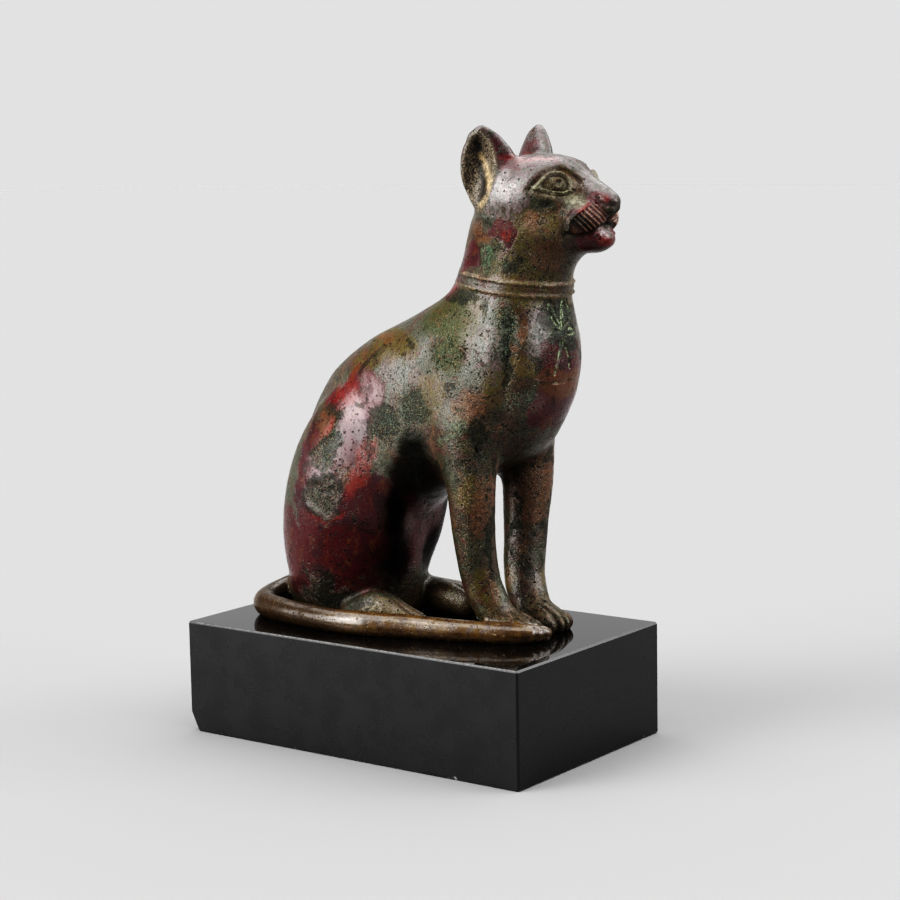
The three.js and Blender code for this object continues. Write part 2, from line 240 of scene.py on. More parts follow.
paw_pad = ellipsoid([5, -24.6, 2.2], [4.1, 5.8, 3.3])
toes = [ellipsoid([5 + a, -28.3 + 0.35 * abs(a), 1.5], [1.25, 3.2, 2.2]) for a in (-3, -1, 1, 3)]
paw = joined(0.4, paw_pad, *toes)
RIGHT_HIND = [
    [-11.2, 11, 2.2, 2.2], [-11.2, 7, 3.2, 3.2], [-11, 3.5, 3.9, 3.7], [-10.6, -1, 2.7, 3],
    [-10.3, -5.5, 1.8, 2.2],
]
LEFT_HIND = [
    [8.5, 13, 3, 3], [7.8, 7, 3.6, 3.6], [6.8, 1, 3.6, 3.7], [6.4, -3, 3.5, 3.7],
    [6.2, -5.8, 3, 3.3],
]
TAIL = [
    [1, 33, 4, 3.2],
    [-5, 34.5, 3, 2.8],
    [-11, 33.6, 2.6, 2.6],
    [-15, 30.3, 2.5, 2.5],
    [-17.2, 24, 2.45, 2.45],
    [-18.4, 17.5, 2.4, 2.4],
    [-19.1, 9, 2.35, 2.35],
    [-18.5, 2.7, 2.4, 2.4],
    [-16.9, -2.5, 2.35, 2.35],
    [-15.1, -8, 2.3, 2.3],
    [-13.5, -14.2, 2.2, 2.2],
    [-11.5, -20.8, 2.1, 2.1],
    [-9.4, -26.6, 2, 2],
    [-6.6, -30.3, 1.8, 1.8],
    [-3.6, -31.6, 1.5, 1.5],
]
tail = limb(TAIL, 4)
skull = ellipsoid([0, -29, 86.1], [11.2, 11.4, 8.5], [0, 2, 0])
brow = ellipsoid([3.8, -33.6, 89], [5.6, 6.1, 4.2], [-14, 9, 12])
nose_bridge = limb([[0, -34, 88, 5], [0, -40.5, 87, 3.3], [0, -45, 85.2, 2.3]])
whisker_pad = ellipsoid([2.7, -39.9, 82.5], [3.9, 5, 3.3], [-14, 0, 0])
chin = ellipsoid([0, -41, 78.5], [4, 4.7, 2.7])
jaw = ellipsoid([0, -32, 80.6], [9.6, 11.5, 6], [0, -6, 0])
throat = limb([[0, -26, 71, 8], [0, -29, 76, 7.6], [0, -34, 80, 5.5]])
eye_socket = ellipsoid([8.2, -39.2, 89.6], [4.5, 2.2, 2.7], [40, 0, 0])
EAR = [
    [83.5, 7.5, -23.6, 2.3, 2.2],
    [86.5, 7.7, -22.9, 3.8, 2.8],
    [90, 8, -22.3, 4.6, 2.8],
    [93, 8.2, -22.4, 4.8, 2.3],
    [95.4, 8.4, -22.8, 4.7, 1.7],
    [97, 8.7, -22.8, 3.8, 1.4],
    [98.5, 9.2, -22.6, 2.8, 1.1],
    [99.6, 9.6, -22.6, 1.4, 0.7],
    [100.1, 9.8, -22.6, 0.5, 0.35],
]
ear_hollow = ellipsoid([11, -22.3, 91.4], [3.1, 3.5, 7.4], [-22, 2, 4])
ear = hollowed(0.4, blade(EAR, -22), ear_hollow)


def head_field():
    cranium = joined(2.5, skull, paired(brow), nose_bridge)
    lower = joined(2.5, cranium, jaw)
    lips = joined(0.8, paired(whisker_pad), chin)
    face = hollowed(0.5, joined(1.6, lower, lips), paired(eye_socket))
    return zoned((-20, -60, 66), (20, 0, 110), joined(3.4, face, paired(ear)))


def cat_field():
    body = joined(1.5, trunk, paired(haunch))
    front = joined(3, body, paired(shoulder))
    forelegs = joined(1, foreleg(1, 1), foreleg(-1, 0.92))
    paws = zoned((-16, -40, -6), (16, -8, 12), paired(paw))
    legs = joined(2, front, joined(1.5, forelegs, paws))
    feet = joined(1.5, legs, limb(LEFT_HIND), limb(RIGHT_HIND))
    headed = joined(2.6, joined(2.5, feet, throat), head_field())
    return joined(0.8, headed, tail)


def slope_of(field, p, step=0.02):
    """A field at points, and how it rises along each axis there."""
    here = field(p)
    slope = np.stack([field(p + np.eye(3)[k] * step) - here for k in range(3)], 1) / step
    return here, slope


def settled(field, p, rounds=3):
    """Moves points onto the field's surface, and gives the way out at each."""
    for _ in range(rounds):
        d, g = slope_of(field, p)
        move = d / np.maximum((g * g).sum(1), 0.2)
        p = p - np.clip(move, -0.6, 0.6)[:, None] * g
    _, g = slope_of(field, p)
    return p, g / np.maximum(np.linalg.norm(g, axis=1), TINY)[:, None]


def ramp(low, high, v):
    """A smooth rise from zero at low to one at high."""
    t = np.clip((v - low) / (high - low), 0, 1)
    return t * t * (3 - 2 * t)


def near_path(q, path):
    """Distance from points in a plane to a path of rows, and the share of the way along it."""
    path = np.array(path, float)
    best, share = np.full(len(q), np.inf), np.zeros(len(q))
    for i, (a, b) in enumerate(zip(path[:-1], path[1:])):
        e = b - a
        t = np.clip((q - a) @ e / (e @ e), 0, 1)
        gap = np.linalg.norm(q - a - t[:, None] * e, axis=1)
        share = np.where(gap < best, (i + t) / (len(path) - 1), share)
        best = np.minimum(best, gap)
    return best, share


def greatest(*values):
    return np.maximum.reduce(values)


def ridge(gap, width):
    """One on a line, fading with the distance from it."""
    return np.exp(-((gap / width) ** 2))


# Fine features of the head are drawn as seen from its front right: across towards the nose, and up,
# both in hundredths from the pupil. The left side mirrors the right.
PUPIL = np.array([-7.6, -38.3, 89.6])
SEEN_ACROSS = np.array([0.5928, -0.8052, -0.0182])
SEEN_UP = np.array([0.1236, 0.0686, 0.99])

UPPER_LID = [
    (-4.7, -1.2), (-3.9, -0.75), (-3, 0.05), (-2.2, 0.95), (-1.25, 1.65), (-0.1, 1.95), (1, 1.8),
    (1.95, 1.05), (2.5, 0.2), (2.95, -1.1),
]
LOWER_LID = [(-4.7, -1.25), (-3.4, -1.35), (-2, -1.7), (-0.4, -2.05), (1.2, -2.1), (2.7, -1.6)]
EYE_OPENING = [
    (-3, -0.8), (-1.9, 0.4), (-0.75, 1.05), (0.6, 1.2), (1.75, 0.5), (2.3, -0.4), (2.3, -1.2),
    (1.2, -1.6), (-0.3, -1.6), (-1.8, -1.3),
]
BROW_EDGE = [
    (-5.8, -1.55), (-5, -0.45), (-3.9, 0.9), (-2.75, 2.05), (-1.4, 2.8), (0.3, 3.1), (1.85, 2.95),
    (2.95, 2.3), (4.1, 1.5), (5.2, 0.5),
]
ORBIT = BROW_EDGE + [(4.4, -1.9), (2.6, -3.1), (-0.5, -3.2), (-3.6, -2.6)]
CHEEK_CRUST = [
    (-4.2, -1.9), (-2, -2.9), (1, -3.4), (2.8, -4.8), (4.5, -5.2), (5.4, -4.4), (5.8, -3.4),
    (4.8, -2.2), (2.8, -1.5), (0, -1.9),
]
TEMPLE_EDGE = [
    (-15.2, -3.3), (-13, -5.45), (-10, -7.1), (-7.8, -6.95), (-7.05, -5.7), (-5.2, -4.15), (-4.7, -2.6),
]
POLISHED = TEMPLE_EDGE + BROW_EDGE + [
    (5.4, -1.2), (6, -2.9), (7.4, -3.6), (9, -4.9), (14, -5.4), (14, 16), (-20, 16), (-20, -3.3),
]
PAD = [
    (2.1, -9.1), (2.45, -7.25), (3.75, -6.05), (5.5, -4.75), (6.6, -4), (8.1, -4.15), (9.25, -5.3),
    (9.8, -6.5), (9, -7.6), (7.6, -8.35), (6.25, -9.2), (4.95, -9.75), (3.45, -9.85), (2.5, -9.6),
]
PAD_ROLL = [(2, -9.3), (2.3, -7.5), (3.6, -6.1), (5.45, -4.85), (6.6, -4.05)]
MOUTH = [
    (1.9, -9.6), (3.5, -10.15), (5, -9.95), (6.3, -9.4), (7.8, -8.5), (9, -7.95), (9.8, -7.8),
]
CHIN_BALL = np.array([8.1, -9.9])
NOSE_EDGE = [(7.7, -2.9), (8.5, -3.9), (9.5, -4.6)]
NOSE_PARTING = [(-46.8, 84.4), (-45.6, 82.6), (-44.4, 81)]
NOSTRIL = (-1.35, -46.5, 85)
NOSTRIL_RADII = (0.6, 0.8, 0.5)
WHISKER_START = (5, -5.4)
WHISKER_LEAN = math.radians(41)
WHISKER_SPACING = 0.79
WHISKER_REACH = 3.4 * WHISKER_SPACING
# The ellipsoid in which the finest mesh follows what is drawn on the face
FACE_PLACE = (-5.5, -41.5, 85.5)
FACE_RADII = (6.5, 7.5, 8)
EAR_GOLD = [(-14.1, 6), (-13.1, 4), (-12.4, 0.9), (-12.5, -2), (-14, -3.6)]
EAR_DARK = [(-15, 8.5), (-14.2, 5.5), (-13.4, 2.5), (-13.2, -0.5), (-13.8, -2.6)]


def seen(q):
    d = q - PUPIL
    return np.stack([d @ SEEN_ACROSS, d @ SEEN_UP], 1)


def past_outline(q, outline):
    """Distance outside a closed outline, below zero inside."""
    x, y = q.T
    ring = np.array(outline + outline[:1], float)
    gap, _ = near_path(q, ring)
    odd = np.zeros(len(q), bool)
    for a, b in zip(ring[:-1], ring[1:]):
        crosses = (a[1] > y) != (b[1] > y)
        rise = b[1] - a[1] if abs(b[1] - a[1]) > TINY else TINY
        odd ^= crosses & (x < (b[0] - a[0]) * (y - a[1]) / rise + a[0])
    return np.where(odd, -gap, gap)


def within(q, outline, soft):
    return ramp(soft, -soft, past_outline(q, outline))


def eye_relief(v):
    """The eye's rims, ball and rings, with marks for its dirt, its brown hollow and its dark lines."""
    x, y = v.T
    orbit = within(v, ORBIT, 0.3)
    brow_gap, _ = near_path(v, BROW_EDGE)
    upper, _ = near_path(v, UPPER_LID)
    lower, _ = near_path(v, LOWER_LID)
    opening = past_outline(v, EYE_OPENING)
    ball = np.clip(1 - ((x - 0.1) / 2.8) ** 2 - ((y + 0.1) / 1.6) ** 2, 0, 1)
    ring = np.hypot(x - 0.4, y + 0.2)
    inner = ramp(0.1, -0.15, opening)
    h = -0.5 * orbit * ridge(brow_gap - 0.3, 0.55) + 0.12 * ridge(brow_gap, 0.4)
    h -= 0.3 * within(v, ORBIT, 1.1)
    h += 0.55 * np.maximum(ridge(upper, 0.29), ridge(lower, 0.25))
    h += inner * (0.8 * ball - 0.5 + 0.22 * ridge(ring - 0.8, 0.17) - 0.3 * ridge(ring, 0.3))
    h -= 0.16 * ridge(lower - 0.7, 0.22) * (y < -1.3) * orbit
    outer_brow = ramp(3, -2, x) * orbit * ridge(brow_gap - 0.2, 0.17)
    iris = 0.8 * inner * ridge(ring - 0.45, 0.16)
    under_lid = 0.7 * ridge(lower - 0.62, 0.16) * (y < -1.3) * orbit
    grooves = greatest(0.8 * ridge(opening - 0.02, 0.13), outer_brow, iris, under_lid)
    crust = within(v, CHEEK_CRUST, 0.5)
    lids = np.maximum(ridge(upper, 0.5), ridge(lower, 0.45)) * (x < 2.9)
    return h, greatest(lids, crust, 0.6 * inner), orbit * (1 - lids), grooves


def muzzle_relief(v, q):
    """The whisker pad with its raised lines, the mouth and the nose."""
    pad = within(v, PAD, 0.25)
    roll, _ = near_path(v, PAD_ROLL)
    across = (v - WHISKER_START) @ (math.sin(WHISKER_LEAN), math.cos(WHISKER_LEAN))
    turns = across / WHISKER_SPACING
    off = np.abs(turns - np.round(turns)) * WHISKER_SPACING
    lines = ridge(off, 0.11) * (np.abs(across + 0.3) < WHISKER_REACH)
    hidden = ridge(np.hypot((v[:, 0] - 4.1) / 1.5, (v[:, 1] + 7.3) / 1.2), 0.9)
    lined = within(v, PAD, 0.2) * ramp(0.2, 0.6, roll)
    h = 0.22 * pad + 0.22 * ridge(roll, 0.5) + lined * (0.3 * lines * (1 - 0.6 * hidden) - 0.24)
    mouth, _ = near_path(v, MOUTH)
    h -= 0.45 * ridge(mouth, 0.28)
    h += 0.4 * ridge(np.linalg.norm(v - CHIN_BALL, axis=1), 1.5)
    nose, _ = near_path(v, NOSE_EDGE)
    h -= 0.3 * ridge(nose, 0.32)
    parting, _ = near_path(q[:, 1:], NOSE_PARTING)
    split = ridge(parting, 1.3) * ridge(q[:, 0], 0.4)
    nostril = ridge(np.linalg.norm((q - NOSTRIL) / NOSTRIL_RADII, axis=1), 1.0)
    h -= 0.35 * split + 0.5 * nostril
    dark = greatest(ridge(mouth, 0.32), 0.8 * ridge(nose, 0.35), split, nostril)
    return h, lined, lined * lines**2 * (1 - 0.7 * hidden), dark


def face_relief(p):
    """How far the face stands out at points, and marks from 0 to 1 for what its colours follow."""
    q = nearside(p)
    v = seen(q)
    front = (np.linalg.norm(q - PUPIL, axis=1) < 13) & (q[:, 1] < -30)
    h = np.zeros(len(p))
    h_eye, dirt, hollow, groove = eye_relief(v[front])
    h_muzzle, pad, lines, dark = muzzle_relief(v[front], q[front])
    h[front] = h_eye + h_muzzle
    groove = np.maximum(groove, dark)
    marks = {"dirt": dirt, "hollow": hollow, "groove": groove, "pad": pad, "lines": lines}
    for name, values in marks.items():
        marks[name] = np.zeros(len(p))
        marks[name][front] = values
    head = q[:, 2] > 77
    marks["polish"] = within(v, POLISHED, 0.3) * head * (1 - marks["hollow"])
    step_up = within(v, POLISHED, 0.5) * ramp(3, 1, v[:, 0])
    return h + 0.12 * step_up * head, marks


# The collar's height at its hub, its hub along y, and how steeply it rises backwards
COLLAR_MIDDLE, COLLAR_HUB, COLLAR_SLOPE = 70.2, -22, 0.13


def collar_level(p):
    return p[:, 2] - COLLAR_MIDDLE - (p[:, 1] - COLLAR_HUB) * COLLAR_SLOPE


def beside(level, away, width):
    """One on two lines, this far over and under a level."""
    return ridge(level - away, width) + ridge(level + away, width)


def collar_relief(p):
    """The collar's band and ridges, with marks for its grooves and its worn crests."""
    level = collar_level(p)
    near = ramp(2.6, 1.9, np.abs(level)) * (np.abs(p[:, 0]) < 16)
    worn = ramp(-12, -21, p[:, 1]) * 0.8 + 0.2
    band = 0.28 * ramp(1.5, 1.2, np.abs(level))
    ridges = 0.34 * beside(level, 1.15, 0.34) + 0.14 * ridge(level - 0.1, 0.28)
    crests = near * beside(level, 1.2, 0.3)
    return worn * near * (band + ridges), 0.6 * near * beside(level, 0.6, 0.3), crests


# The pendant's incised lines, as x and height on the chest
PENDANT_ASIDE = (0.35, 0)
PENDANT = [
    [(-3.4, 66.4), (-4.1, 65.8), (-4, 65), (-3.6, 63.8), (-2.9, 62.6), (-2.1, 61.7), (-1.2, 61.3)],
    [(-3.4, 66.4), (-2.6, 65.9), (-2.5, 64.8), (-2.1, 63.6), (-1.3, 62.2)],
    [(0.6, 66.7), (0, 66.2), (-0.4, 64.6), (-0.7, 62.6), (-0.8, 61.5)],
    [(0.9, 66.2), (0.3, 64.8), (0.1, 63.4)],
    [(1.6, 66.3), (2.8, 65.1), (3.1, 63.8), (2, 62.6), (0, 61.6)],
    [(0.6, 61), (2.8, 61.1), (3.9, 60.4), (2.8, 59.9), (0.8, 60.1)],
    [(-3.5, 61), (-2, 60.9)],
    [(-1.9, 58.6), (-2.8, 56.3), (-3.4, 54.4), (-4, 52.7)],
    [(-1, 58.5), (0, 56.9), (0.4, 55.5), (0.7, 53.6)],
    [(-4.1, 51), (-1.2, 50.8), (0.5, 51.1)],
]


def pendant_relief(p):
    """The incised pendant on the chest, with marks for its green inlay and its dark ground."""
    _, y, z = p.T
    q = p[:, [0, 2]] - PENDANT_ASIDE
    gap = np.full(len(p), np.inf)
    for line in PENDANT:
        gap = np.minimum(gap, near_path(q, line)[0])
    here = (y < -28) * (z < 69) * (z > 47)
    fresh = ramp(49, 54, z) * 0.6 + 0.4
    ground = ridge(gap, 0.9) * here * ramp(50, 60, z)
    return -0.22 * ridge(gap, 0.32) * here, ridge(gap, 0.3) * here * fresh, ground


def foot_relief(p):
    """Grooves between the toes of all four feet."""
    x, y, z = p.T
    q = farside(p)
    cut = np.zeros(len(p))
    for a in (-2, 0, 2):
        gap, _ = near_path(q[:, :2], [[5 + a, -33], [5 + 0.9 * a, -27], [5 + 0.7 * a, -24.5]])
        cut = np.maximum(cut, ridge(gap, 0.3) * ramp(-24, -27, y) * (z < 6))
    for foot, low, high in ((-10.3, -9, 3), (6.2, -10, -3)):
        for a in (-1.5, 0, 1.5):
            gap, _ = near_path(p[:, :2], [[foot + 1.1 * a, low], [foot + 0.7 * a, high]])
            fade = ramp(high + 1, high - 2, y) * (y > low) * (z < 8.2)
            cut = np.maximum(cut, ridge(gap, 0.3) * fade * (np.abs(x - foot) < 3.5))
    return -0.3 * cut, 0.8 * cut


def grain(p, size, seed, octaves=3):
    """Smooth noise from -1 to 1 at points, with features of a size in the cat's hundredths."""
    shift = Vector((seed * 7.31, seed * 3.17, seed * 5.53))
    return np.array([noise.fractal(Vector(v) / size + shift, 1.0, 2.0, octaves) for v in p])


def set_number(mesh, name, values):
    """Keeps a number from 0 to 1 at each vertex, for the material."""
    numbers = mesh.attributes.new(name, "FLOAT", "POINT").data
    numbers.foreach_set("value", np.clip(values, 0, 1).astype(np.float32))


def rolled(rows, first):
    """Each row of three, turned round to start at its own place."""
    return np.take_along_axis(rows, (first[:, None] + np.arange(3)) % 3, 1)


def halved(corners, middles):
    """Splits triangles where their sides have middles, which are -1 where a side has none."""
    cuts = (middles >= 0).sum(1)
    one, two, three = (cuts == k for k in (1, 2, 3))
    first = (middles[one] >= 0).argmax(1)
    a, b, c = rolled(corners[one], first).T
    ab = rolled(middles[one], first)[:, 0]
    pieces = [(a, ab, c), (ab, b, c)]
    after_whole = (middles[two] < 0).argmax(1) + 1
    a, b, c = rolled(corners[two], after_whole).T
    ab, bc, _ = rolled(middles[two], after_whole).T
    pieces += [(ab, b, bc), (a, ab, bc), (a, bc, c)]
    a, b, c = corners[three].T
    ab, bc, ca = middles[three].T
    pieces += [(a, ab, ca), (ab, b, bc), (ca, bc, c), (ab, bc, ca)]
    return np.vstack([corners[cuts == 0]] + [np.stack(piece, 1) for piece in pieces])


def refined(points, corners, region, longest):
    """Halves edges in a region until none there is longer than a length."""
    for _ in range(HALVINGS):
        sides = np.sort(corners[:, [[0, 1], [1, 2], [2, 0]]], axis=2)
        names, which = np.unique(sides[..., 0] * len(points) + sides[..., 1], return_inverse=True)
        ends = np.stack([names // len(points), names % len(points)], 1)
        length = np.linalg.norm(points[ends[:, 0]] - points[ends[:, 1]], axis=1)
        cut = (length > longest) & region(points)[ends].any(1)
        if not cut.any():
            break
        middles = np.full(len(names), -1)
        middles[cut] = len(points) + np.arange(cut.sum())
        points = np.vstack([points, points[ends[cut]].mean(1)])
        corners = halved(corners, middles[which].reshape(-1, 3))
    return points, corners


def triangles_of(mesh):
    """A mesh's points, and the three corners of each of its triangles."""
    mesh.calc_loop_triangles()
    points = np.empty(len(mesh.vertices) * 3)
    corners = np.empty(len(mesh.loop_triangles) * 3, dtype=np.int32)
    mesh.vertices.foreach_get("co", points)
    mesh.loop_triangles.foreach_get("vertices", corners)
    return points.reshape(-1, 3), corners.reshape(-1, 3).astype(np.int64)


def near_point(p, centre, radii):
    """Whether points lie in an ellipsoid."""
    return (((p - centre) / radii) ** 2).sum(1) < 1


def head_and_feet(p):
    feet = (p[:, 2] < 9) & (p[:, 1] < 6) & (tail(p) > 1)
    return (p[:, 2] > 76) | feet


def lined_parts(p):
    v = seen(nearside(p))
    drawn = np.minimum(past_outline(v, ORBIT), past_outline(v, PAD)) < 0.5
    front = near_point(nearside(p), FACE_PLACE, FACE_RADII)
    chest = (np.abs(p[:, 0]) < 5) & (p[:, 1] < -28) & (p[:, 2] > 50) & (p[:, 2] < 67)
    return (front & drawn) | chest


def collar_part(p):
    return (np.abs(collar_level(p)) < 2.4) & (np.abs(p[:, 1] + 22) < 16)


# The patina's stains, with some painted light and shade, in the cat's hundredths: each row has a
# centre's x, y and z, how far the stain reaches across and up as seen from the front right, and its
# lean in degrees, if any. The left side repeats them. Most kinds are colours. The kind for gloss and
# painted highlight raises the gloss and lays a paler red on the red patina and a paler satin on the
# satin skin there, a painted highlight; dull lowers the gloss and makes the tail darker along its back
# part; shade is painted shade, black in the depth between haunch and belly; and dust is pale dirt in
# the low parts.
STAINS = {
    "red": [
        (-14, 11, 16, 12.5, 9.5), (-14, 16, 25, 6, 12, 10), (-10.5, 26, 14, 6, 10),
        (-13.4, 4, 24, 8, 9), (-12.6, 6.8, 42.5, 4.6, 12, -27), (-10.2, 11.2, 48, 2.2, 5.5, -38),
        (-14.5, 18, 33, 3, 12, -18), (-7.6, -17.6, 75, 1.6, 3.4), (-9.9, -27, 80.6, 2.4, 2.2, 20),
        (-9.4, -28.6, 79, 1.2, 2, -30), (-6.8, -29.4, 93.2, 8, 1.6), (-2.5, -44.5, 86.3, 2.4, 1.5),
        (-5, -42, 84.4, 3.4, 0.9, 35), (-3, -43.6, 78.6, 3.6, 2.6), (-2.4, -34, 45.5, 6, 4.5),
        (-2, -34.6, 53, 4.6, 7), (-8, -13.5, 69.3, 3, 1.6, 40), (-9.2, -24, 96, 3, 2),
        (-5, 2, 22, 5, 14),
    ],
    "scarlet": [
        (-10.2, 11.3, 47.6, 2, 4, -30), (-13.4, 5.4, 33, 2, 7, -28), (-1.6, -45.2, 78.2, 1.7, 0.8),
        (-2.1, -45.3, 86.1, 0.9, 0.7), (-4.3, -42.2, 84.4, 1.6, 0.5, 35),
        (-13.5, 13, 22.5, 4.5, 1.2, 20), (-9.4, -24.4, 95.2, 1.6, 0.8),
        (-9.6, -27.9, 79.4, 0.9, 0.9, 20), (-5.5, -30, 93.6, 6, 0.7), (-13.2, 14.8, 40, 0.9, 2.6, -22),
        (-14.5, 15.5, 35, 0.7, 1.8, -10), (-8.6, -14.3, 68.6, 2, 1.2, 40),
    ],
    "olive": [
        (-9.7, 0.5, 58, 9, 3.4, -28), (-8.8, 7.8, 53.6, 2, 5.5, -38), (-10.8, -16.4, 64, 6, 6),
        (-9.8, -33.5, 80, 7, 4.5), (-12.5, -27.5, 50, 3, 4), (-13.5, -11.5, 48, 3.6, 5),
        (-8, -33, 68, 6, 3), (-8, -32, 73.5, 8, 4.5), (-9.2, -32.3, 54.4, 4, 2.6),
        (-13, -20, 30, 2.4, 4), (-9, -21, 10, 3, 4), (-9, -1, 4, 9, 3),
    ],
    "moss": [
        (-10.6, -15.6, 63.6, 5, 6), (-9.7, -10.5, 61.5, 3, 3, -28), (-12.6, -16, 56, 2.4, 5),
    ],
    "rust": [
        (-13, 15, 41, 1.4, 4, -22), (-9.3, 9.8, 50.8, 1, 2.4, -38), (-14.1, -22, 46.4, 4.2, 3.6, 20),
        (-9.2, -31.8, 61.4, 1.2, 2), (-10.6, -30.6, 58.2, 1.2, 0.9), (-8.6, -20.5, 80, 1.2, 2.4),
        (-9.4, -23, 78.6, 0.9, 0.9), (-9.8, -33.8, 82.4, 1.6, 2.2), (-5.8, -40.5, 90.6, 1.2, 1),
        (-6.2, -41.2, 80.4, 1.5, 0.8, -20), (-7.2, -39.8, 81.6, 0.8, 1.5, -20), (-6.4, -22, 29, 3.5, 8),
        (-14, -13.2, 40, 0.35, 11, 8), (-3, -34.6, 51, 4, 3), (-8.5, 2, 58.6, 2.5, 1.2, -28),
        (-12.2, -22.4, 27, 1.2, 7), (-9.4, -22.4, 11, 1.2, 3.4), (-6.5, -35.8, 76, 3.4, 2.6),
        (-13.2, 8, 30.4, 3, 2, 30),
    ],
    "dark": [
        (-14.3, 14, 36, 2.4, 4.5, -25), (-12.4, 12, 43, 1.4, 1.8, -30), (-13.2, 15.6, 8.4, 2.4, 2.8),
        (-13.2, 0.2, 42.3, 4, 3, 30), (-14, -9, 46, 3, 4, 30), (-9.6, -29.6, 74, 2.6, 2.2),
        (-8.8, -36.3, 85.6, 1.4, 1), (-6.6, -39.6, 80.9, 1.2, 1.4), (-5, -41.9, 81.9, 2.4, 1.5, -39),
        # The row at (-10, -16.4, 68), just under the collar, is a painted shadow of the collar.
        (-11.8, -29.2, 57, 0.9, 8), (-10, -16.4, 68, 4, 1.4, -8), (-12, -22, 41, 2, 3),
        (-0.5, -34, 63.5, 4.6, 3.4), (-1, -34.6, 59.5, 2.2, 2.5), (-13.6, 13, 5, 9, 1.6),
        (-10.2, -23.4, 20, 1, 9), (-6.2, -21.6, 33.5, 1, 3),
    ],
    "shade": [
        (-12.4, -7.4, 35, 3.8, 6, 25), (-11.3, -3.4, 31, 2.8, 5.5, 10), (-9.4, 0.3, 24, 2.4, 7),
        (-6.4, 2.4, 14, 2.6, 7),
    ],
    "verdigris": [
        (-9.9, -22.8, 75.4, 1.1, 3), (-15, -19.6, 43.4, 2.2, 1.4, 20), (-15.1, -17.2, 40.5, 0.8, 0.6),
        (-14.6, 14.5, 20.6, 2.2, 0.4, 20),
    ],
    "green": [
        (-9, -24, 74, 3, 3), (-15.1, -19.1, 44.2, 3, 3.6), (-13, -15.6, 58, 4, 6),
        (-13, 2, 12, 6, 1.2, 20), (-14.4, 13.8, 36, 2.6, 5, -22), (-12.8, -0.5, 41, 4, 3.5, 30),
        (-14, -8.5, 46, 4, 4, 30), (-8.5, -31, 47, 4, 3), (-3, -34.4, 60, 4, 6), (-11.5, -28, 62, 2, 6),
    ],
    "buff": [
        (-13, -15.7, 57, 3, 8), (-15, -18, 40, 2.4, 5), (-13.6, -19.9, 28, 1.7, 12),
        (-12.8, -0.5, 41, 4, 3, 30), (-14, -8.5, 46, 3.5, 4, 30), (-14.4, 13.8, 35.6, 2.2, 4, -22),
        (-14, -12.5, 51, 0.8, 3), (-9, -25, 79.5, 2.6, 2.2), (-7.5, -40.8, 79, 3, 2),
    ],
    # Spots of higher gloss where highlights fall, which also get a painted highlight
    "gloss_and_painted_highlight": [
        (-12, 4.4, 47.5, 3.4, 7.6, -26), (-10.8, -26, 86, 5.5, 6), (-2.7, -42.4, 87.8, 3, 2.2),
        (-1.2, -44.5, 80.1, 1.9, 1.2), (-6.9, -33.2, 61, 2.3, 4.8), (-12.4, -27, 56.7, 1.8, 6),
        (-3.5, 0.9, 18, 4.5, 9), (-6.4, -36, 77, 5, 3), (-9.3, -30.3, 47, 5, 3), (-14, -2.5, 52, 5, 3),
    ],
    "dull": [
        (-13, 15.4, 41, 2.8, 6.5, -22), (-10.8, -14.6, 63.5, 6, 6, -10), (-9.3, -22, 76, 3.2, 5.5),
        (-12.6, -16, 57, 4, 5), (-9.7, 1, 58.8, 9, 3, -28), (-8.8, 7.8, 53.6, 2.4, 6, -38),
        (-13.8, 9, 16, 8, 6), (-3, -7, 28.5, 4, 4), (-3, -38.6, 92.4, 3.4, 1.6), (-6, -26, 4, 7, 3),
    ],
    "dust": [
        (-7.5, -2.5, 3.6, 7, 2.2), (-5, -26, 4, 8, 3.4), (-8.5, -37.6, 87.2, 3, 1),
    ],
}
# Where the skin is worn to a satin, as rows of the same sort: the chest, the chin and the shoulder
SATIN = [
    (-6.9, -33.2, 61, 2.2, 5.0, 0),
    (-1.2, -44.6, 80.0, 1.3, 0.7, 10),
    (-12.4, -26.8, 57.5, 1.1, 5.2, 0),
]
STAIN_DEPTH = 11
# The corroded patch on the haunch
CORROSION = np.array([-15.4, 14.4, 26.5])
CORROSION_REACH = 4.4
# The valley beside the chest, and the crest of the shoulder
VALLEY = [(-10.8, -30, 66), (-11.5, -29.6, 58.8), (-12, -28.4, 50), (-11.4, -27, 44)]
SHOULDER_CREST = [(-11.9, -26.0, 66), (-12.6, -26.8, 57), (-13.1, -26.0, 48)]


def stain(q, rows):
    """One inside the stains of some rows, fading to none past their reach."""
    away = np.cross(SEEN_ACROSS, SEEN_UP)
    deepest = np.zeros(len(q))
    for x, y, z, across, up, *lean in rows:
        d = q - (x, y, z)
        a, b, c = d @ SEEN_ACROSS, d @ SEEN_UP, d @ away
        angle = math.radians(*lean) if lean else 0
        cos, sin = math.cos(angle), math.sin(angle)
        turned = np.stack([(a * cos + b * sin) / across, (b * cos - a * sin) / up, c / STAIN_DEPTH])
        deepest = np.maximum(deepest, ramp(1.45, 0.45, np.linalg.norm(turned, axis=0)))
    return deepest


def chest_relief(p):
    """The shallow valley between each shoulder and the chest, and the shoulder's soft crest."""
    q = nearside(p)
    valley, share = near_path(q, VALLEY)
    crest, _ = near_path(q, SHOULDER_CREST)
    return 0.4 * ridge(crest, 2.7) - 0.75 * ridge(valley, 1.9) * ramp(0, 0.15, share)


def corrosion(q):
    """A round patch on the haunch: a sunk middle that is crusted, in a rough rim."""
    away = np.linalg.norm(q - CORROSION, axis=1)
    rim = ridge(away - CORROSION_REACH, 0.9)
    inside = ramp(CORROSION_REACH, CORROSION_REACH - 1.2, away)
    return rim, inside


def placed(name, data):
    thing = bpy.data.objects.new(name, data)
    bpy.context.scene.collection.objects.link(thing)
    return thing


